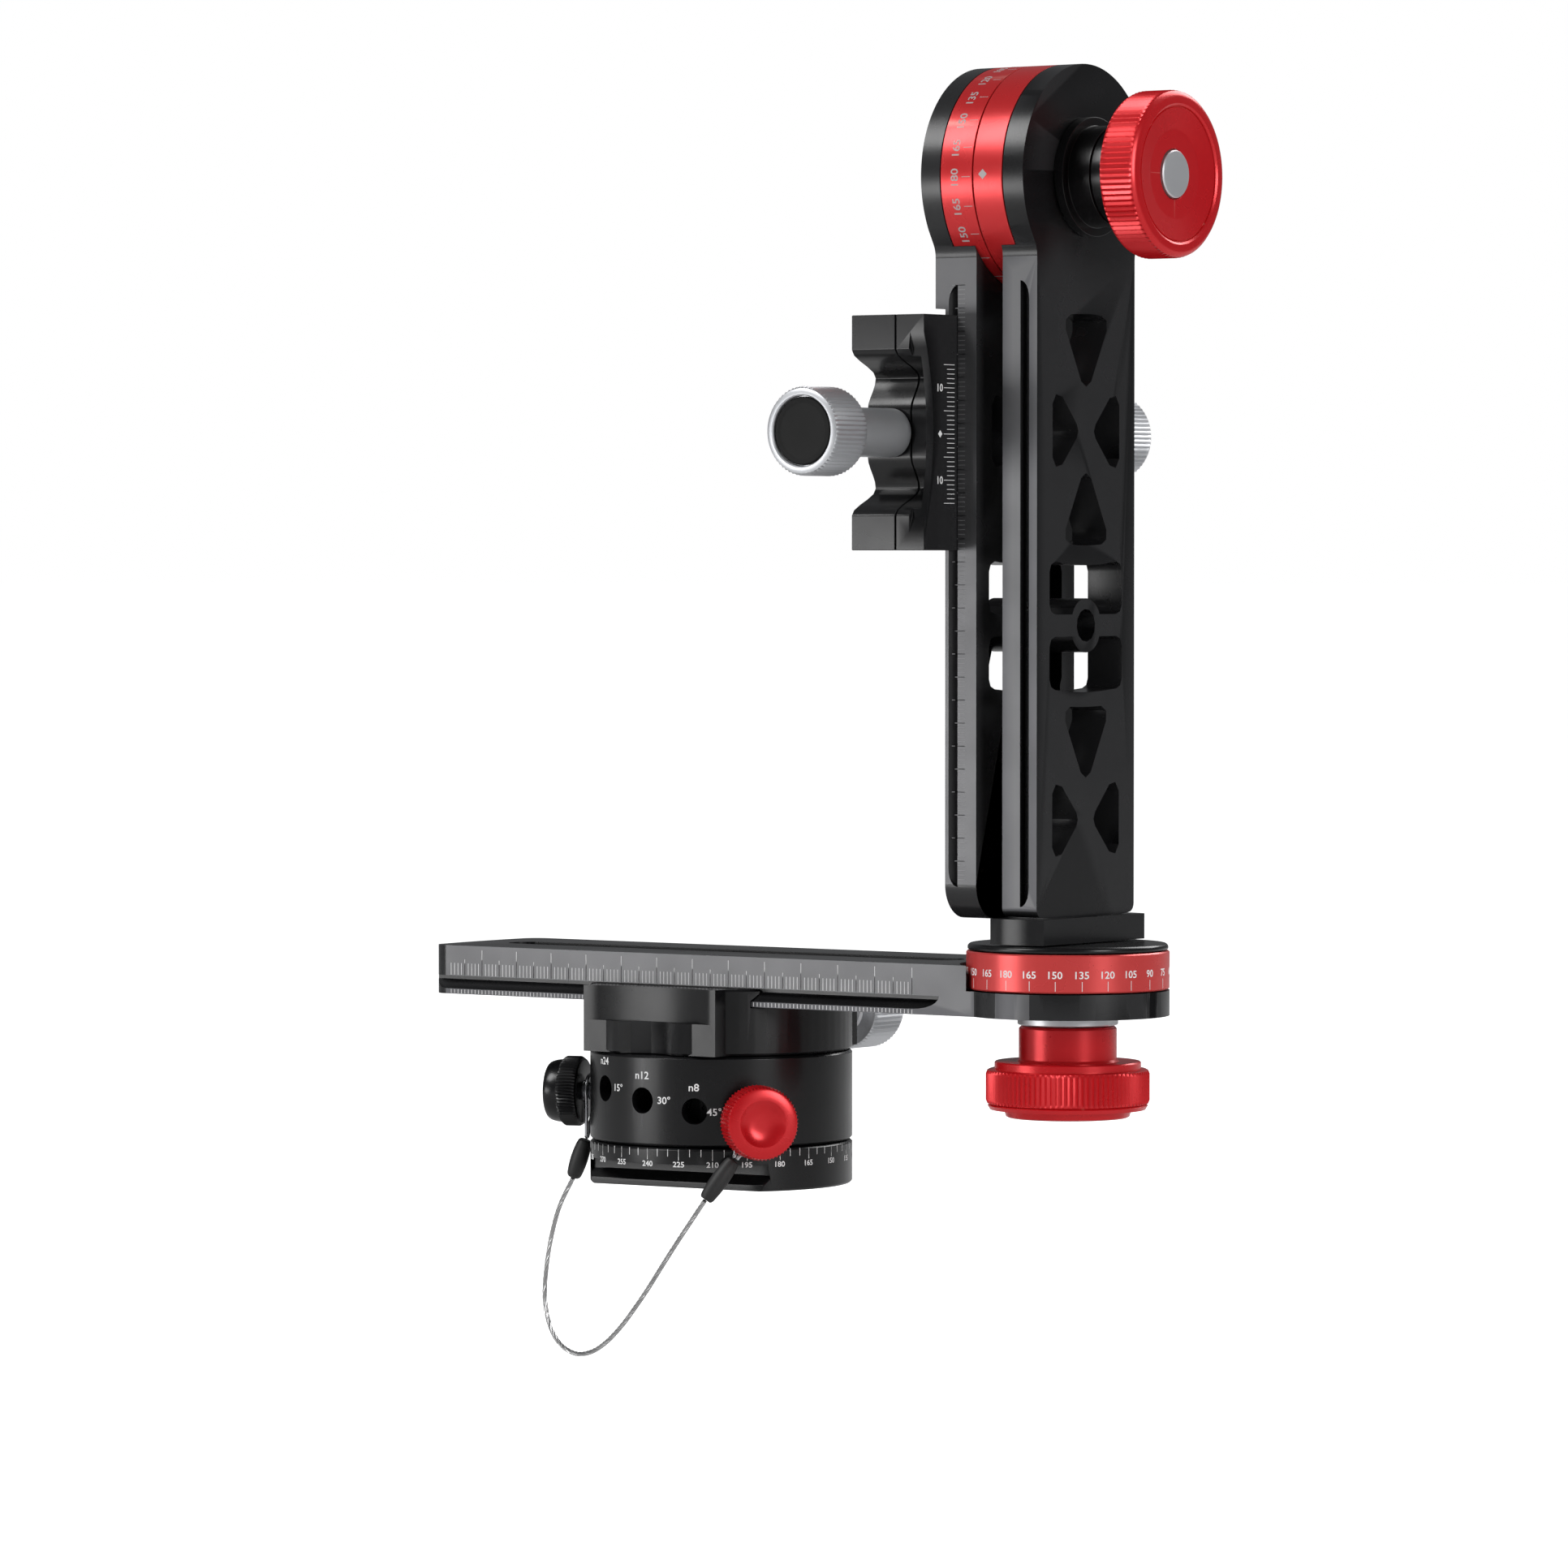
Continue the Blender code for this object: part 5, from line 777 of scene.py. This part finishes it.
# %% Clamps
lower_body = dress("lower_clamp_body", "lower_clamp_milled", BLACK, [(ON_PAN, 64)])
lower_jaw = dress("lower_jaw", "lower_jaw_milled", BLACK, [(ON_PAN, 64)])
camera_body = dress("camera_clamp_body", "camera_clamp_milled", BLACK)
camera_jaw = dress("camera_jaw", "camera_jaw_milled", BLACK)
arm_jaw = dress("arm_jaw", "arm_jaw_milled", BLACK)
print("clamps made")

# %% [markdown]
# The scales are laser engraved: the beam burns the dye away and leaves thin pale lines.  Each is
# drawn flat first, with X along the wall and Y up it, as a very thin solid.  It is then laid on a
# flat side or bent round a ring.  A row of lines is one line with an Array modifier.

# %% Drawing marks flat
MARK_DEPTH = 0.00003
LINE_WIDTH = 0.00013
LETTER_WIDTH = 1.08


def line_row(first, step, count, low, high, width=LINE_WIDTH):
    """Upright lines from low to high, at even steps along X."""
    bpy.ops.mesh.primitive_cube_add(size=1, location=(first, (low + high) / 2, 0))
    row = bpy.context.object
    row.scale = (width, high - low, MARK_DEPTH * 2)
    bpy.ops.object.transform_apply(location=True, rotation=True, scale=True)
    if count > 1:
        repeat = row.modifiers.new("repeat", "ARRAY")
        repeat.use_relative_offset, repeat.use_constant_offset = False, True
        repeat.constant_offset_displace = (step, 0, 0)
        repeat.count = count
        apply_all(row)
    return row


def number(words, height, along, up, turn=0.0):
    """Text of the given height, centred at a place, made a mesh."""
    bpy.ops.object.text_add()
    text = bpy.context.object
    text.data.body = words
    text.data.size = height
    text.data.extrude = MARK_DEPTH
    text.data.offset = 0.00002
    text.data.resolution_u = 3
    select_only(text)
    bpy.ops.object.convert(target="MESH")
    spots = [v.co for v in text.data.vertices]
    low = Vector([min(s[i] for s in spots) for i in range(3)])
    high = Vector([max(s[i] for s in spots) for i in range(3)])
    scale = height / (high.y - low.y)
    change = (Matrix.Translation((along, up, 0)) @ Matrix.Rotation(turn, 4, "Z")
              @ Matrix.Diagonal((scale * LETTER_WIDTH, scale, 1, 1)) @ Matrix.Translation(((low + high) / -2).xy.to_3d()))
    text.data.transform(change)
    return text


def diamond(size, along, up):
    bpy.ops.mesh.primitive_circle_add(vertices=4, radius=size, fill_type="NGON", location=(along, up, 0))
    piece = bpy.context.object
    bpy.ops.object.transform_apply(location=True)
    edit(piece, lambda: bpy.ops.mesh.extrude_region_move(TRANSFORM_OT_translate={"value": (0, 0, MARK_DEPTH)}),
         face_out)
    return piece


def wrap(piece, place, radius):
    """Bend flat marks onto a round wall about the Z of place."""
    for point in piece.data.vertices:
        turn, out = point.co.x / radius, radius + point.co.z
        point.co = place @ Vector((out * cos(turn), out * sin(turn), point.co.y))


def lay(piece, place):
    piece.data.transform(place)


print("drawing helpers ready")

# %% [markdown]
# The base ring reads the pan angle: a line each 5 degrees, a longer one each 15 degrees, and
# numbers below those.

# %% Pan scale
BASE_ZERO_TURN = 152.9
BASE_TICK_TOP, BASE_TICK_SHORT, BASE_TICK_LONG = 0.00945, 0.0078, 0.0070
BASE_NUMBER_HEIGHT, BASE_NUMBER_PLACE = 0.00125, 0.0061


def arc(turn, radius=ROTATOR_RADIUS):
    return radians(turn) * radius


def round_scale(name, radius, zero, way, places, lines, body, place, finish=ENGRAVED, roll=0.0):
    """places are (degrees, words, height, up); lines are (step in degrees, low, high)."""
    pieces = [line_row(arc(zero, radius), arc(step, radius), round(360 / step), low, high)
              for step, low, high in lines]
    pieces += [number(words, height, arc(zero + way * turn, radius), up, roll)
               for turn, words, height, up in places]
    scale = join_all(name, pieces)
    wrap(scale, place, radius)
    return finish_piece(scale, finish, body=body)


readings = [(n, str(n), BASE_NUMBER_HEIGHT, BASE_NUMBER_PLACE) for n in range(0, 360, 15)]
round_scale("pan_scale", ROTATOR_RADIUS, BASE_ZERO_TURN, -1, readings,
            [(5, BASE_TICK_SHORT, BASE_TICK_TOP), (15, BASE_TICK_LONG, BASE_TICK_TOP)], "base", ON_PAN)

labels = [("n24", -115.3, 0.0283), ("15°", -104.2, 0.0226), ("n12", -90.0, 0.0257),
          ("30°", -78.9, 0.0203), ("n8", -65.2, 0.0233), ("45°", -56.4, 0.0179)]
plate = join_all("index_labels", [number(words, 0.0017, arc(turn), up) for words, turn, up in labels])
wrap(plate, ON_PAN, ROTATOR_RADIUS)
finish_piece(plate, ENGRAVED, body="rotator")

# %% [markdown]
# The hub ring and the tilt ring count down from 180 on both sides of the front.

# %% Hub and tilt scales
HUB_FRONT_TURN, TILT_FRONT_TURN, HEAD_RADIUS = -93.0, 181.0, 0.02457
HUB_NUMBER, HUB_TICK_LOW, HUB_TICK_HIGH = 0.0510, 0.0475, 0.0496
TILT_NUMBER, TILT_TICK_LOW, TILT_TICK_HIGH = 0.0811, 0.0830, 0.0852
countdown = [(15 * k, str(abs(180 - 15 * k))) for k in range(24)]
round_scale("hub_scale", HUB_RADIUS, HUB_FRONT_TURN, 1,
            [(turn, words, 0.0016, HUB_NUMBER) for turn, words in countdown],
            [(15, HUB_TICK_LOW, HUB_TICK_HIGH)], "lower_rail", ON_HUB)
round_scale("tilt_scale", HEAD_RADIUS, TILT_FRONT_TURN, 1,
            [(turn, words, 0.0019, TILT_NUMBER) for turn, words in countdown],
            [(15, TILT_TICK_LOW, TILT_TICK_HIGH)], "camera_arm", ON_TILT, SOFT_MARK, roll=pi)
index_mark = diamond(0.0011, arc(180.0, HEAD_RADIUS), 0.0885)
wrap(index_mark, ON_TILT, HEAD_RADIUS)
index_mark.name = index_mark.data.name = "tilt_index_mark"
finish_piece(index_mark, SOFT_MARK, body="swivel")
print("hub and tilt scales made")

# %% [markdown]
# Both sides of the lower rail have a ruler.  Its lines rise from the groove: one each millimetre,
# longer at 5 and 10.  The thin flange below the groove has the millimetre lines too.

# %% Rulers
RULER_ZERO, RULER_LENGTH, MM = -0.0639, 130, 0.001
SCALE_EDGE, FLANGE_LOW, FLANGE_HIGH = 0.04555, 0.04135, 0.04225


def ruler(name, length, heights, low, place, body, finish, way=1):
    """Lines of three lengths, at each millimetre, each 5 and each 10.  There is none at 0."""
    pieces = [line_row(way * MM * step, way * MM * step, length // step, low, low + height)
              for step, height in heights]
    made = join_all(name, pieces)
    lay(made, place)
    return finish_piece(made, finish, body=body)


RULER_HEIGHTS = ((1, 0.0027), (5, 0.0036), (10, 0.0058))
for side, way in ((-1, EAST), (1, -EAST)):
    wall = side * 0.0190
    tag = "front" if side < 0 else "rear"
    on_side = facing(NORTH * side, (RULER_ZERO, wall, 0), side=way)
    ruler(f"rail_ruler_{tag}", RULER_LENGTH, RULER_HEIGHTS, SCALE_EDGE, on_side, "lower_rail", ENGRAVED, -side)
    ruler(f"flange_ruler_{tag}", RULER_LENGTH, ((1, FLANGE_HIGH - FLANGE_LOW),), FLANGE_LOW, on_side,
          "lower_rail", ENGRAVED, -side)

ARM_RULER_START, ARM_RULER_LENGTH, ARM_RULER_EDGE, ARM_WALL = 0.0700, 130, 0.0783, -0.0190
ARM_HEIGHTS = ((1, 0.0018), (5, 0.0026), (10, 0.0034))
upward = facing(-NORTH, (0, ARM_WALL, ARM_RULER_START), side=UP)
ruler("arm_ruler", ARM_RULER_LENGTH, ARM_HEIGHTS, -ARM_RULER_EDGE - ARM_HEIGHTS[0][1],
      upward, "camera_arm", FAINT)

# The vernier on the clamp's lip reads against the arm's ruler.
LIP_FACE, VERNIER_LOW, VERNIER_COUNT = 0.0780, 0.1527, 30
VERNIER_EDGE, VERNIER_SHORT, VERNIER_LONG = -0.0200, 0.0028, 0.0040
lip = facing(EAST, (LIP_FACE, 0, 0), side=NORTH)
pieces = []
for k in range(VERNIER_COUNT + 1):
    reach = VERNIER_LONG if k % 5 == 0 else VERNIER_SHORT
    mark = line_row(VERNIER_EDGE - reach / 2, MM, 1, VERNIER_LOW + k * MM - LINE_WIDTH / 2,
                    VERNIER_LOW + k * MM + LINE_WIDTH / 2, reach)
    pieces.append(mark)
for height in (0.1577, 0.1777):
    pieces.append(number("10", 0.0017, -0.0254, height))
pieces.append(diamond(0.0008, -0.0254, 0.1677))
vernier = join_all("clamp_vernier", pieces)
lay(vernier, lip)
finish_piece(vernier, ENGRAVED, body="camera_clamp")
print("rulers made")

# %% [markdown]
# What is left of the CAD nodes is inside the head or is a plain screw.  Each takes the metal listed
# for it below, and any other takes steel.

# %% Metals of the inner pieces
by_slot = {made.name: made for made in (BLACK, RED, SILVER, STEEL, BRONZE, WIRE, SLEEVE)}
INNER = {"index_core": OXIDE, "pan_bearing": STEEL, "centre_bolt": STEEL, "pan_lock_shoe": BRONZE,
         "hub_bush": BRONZE, "tilt_bush": BRONZE, "hub_bolt": STEEL, "tilt_axle": STEEL}
kept = []
for node, piece in frame["nodes"].items():
    if piece.hide_render:
        continue
    for entry in piece.material_slots:
        entry.material = INNER.get(node, STEEL)
    kept.append(node)
print("kept from the frame:", kept)

# %% [markdown]
# The set is a wide pale floor under a white surround.  Black metal shows only what it reflects,
# so the surround that it sees is dim, and a low strip at the left, a high key, a fill at the right
# and a lamp behind give it soft highlights with dark between them.

# %% Floor, lamps and world
FLOOR_GLOW = 0.9
FLOOR_LEVEL = min(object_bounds()[0][2], cad_box[0][2]) - 0.0005
bpy.ops.mesh.primitive_plane_add(size=80.0, location=(0, 0, FLOOR_LEVEL))
floor_piece = bpy.context.object
floor_piece.name = "studio_floor"
paper = bpy.data.materials.new("pale_paper")
paper.use_nodes = True
nodes, link = paper.node_tree.nodes, paper.node_tree.links.new
shader = nodes["Principled BSDF"]
shader.inputs["Base Color"].default_value = (0.7, 0.7, 0.7, 1)
shader.inputs["Roughness"].default_value = 0.9
seen, glow = nodes.new("ShaderNodeLightPath"), nodes.new("ShaderNodeMath")
glow.operation = "MULTIPLY"
glow.inputs[1].default_value = FLOOR_GLOW
shader.inputs["Emission Color"].default_value = (1, 1, 1, 1)
link(seen.outputs["Is Camera Ray"], glow.inputs[0])
link(glow.outputs[0], shader.inputs["Emission Strength"])
floor_piece.data.materials.append(paper)

world = bpy.data.worlds.new("studio")
bpy.context.scene.world = world
world.use_nodes = True
nodes, link = world.node_tree.nodes, world.node_tree.links.new
for old in list(nodes):
    nodes.remove(old)
out, pale, soft, mix, path = (nodes.new(kind) for kind in (
    "ShaderNodeOutputWorld", "ShaderNodeBackground", "ShaderNodeBackground", "ShaderNodeMixShader",
    "ShaderNodeLightPath"))
soft.inputs["Color"].default_value = (0.95, 0.97, 1.0, 1)
soft.inputs["Strength"].default_value = 0.15
pale.inputs["Color"].default_value = (1, 1, 1, 1)
pale.inputs["Strength"].default_value = 1.0
link(path.outputs["Is Camera Ray"], mix.inputs[0])
link(soft.outputs[0], mix.inputs[1])
link(pale.outputs[0], mix.inputs[2])
link(mix.outputs[0], out.inputs["Surface"])


def lamp(name, place, aim, size, power, tall=None):
    """Soft area lamp at a place, aimed at a point."""
    data = bpy.data.lights.new(name, "AREA")
    data.shape, data.size, data.size_y = "RECTANGLE", size, tall or size
    data.energy = power
    made = bpy.data.objects.new(name, data)
    made.location = place
    made.rotation_euler = (Vector(aim) - Vector(place)).to_track_quat("-Z", "Y").to_euler()
    bpy.context.scene.collection.objects.link(made)
    return made


MIDDLE = (0.03, 0.0, 0.12)
lamp("strip_lamp", (-0.60, -0.95, 0.07), (0.03, 0.0, 0.07), 0.5, 2.6, 0.22)
lamp("key_lamp", (-0.7, -1.1, 1.3), MIDDLE, 0.7, 18.0)
lamp("fill_lamp", (1.35, -0.35, 0.45), MIDDLE, 0.4, 9.0, 0.6)
lamp("back_lamp", (0.3, 1.2, 1.1), MIDDLE, 0.9, 14.0)
bpy.context.scene.view_settings.view_transform = "Standard"
print("floor at", round(FLOOR_LEVEL, 4))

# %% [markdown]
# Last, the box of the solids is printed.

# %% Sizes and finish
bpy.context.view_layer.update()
print("cad", cad_box)
bpy.ops.object.select_all(action="DESELECT")
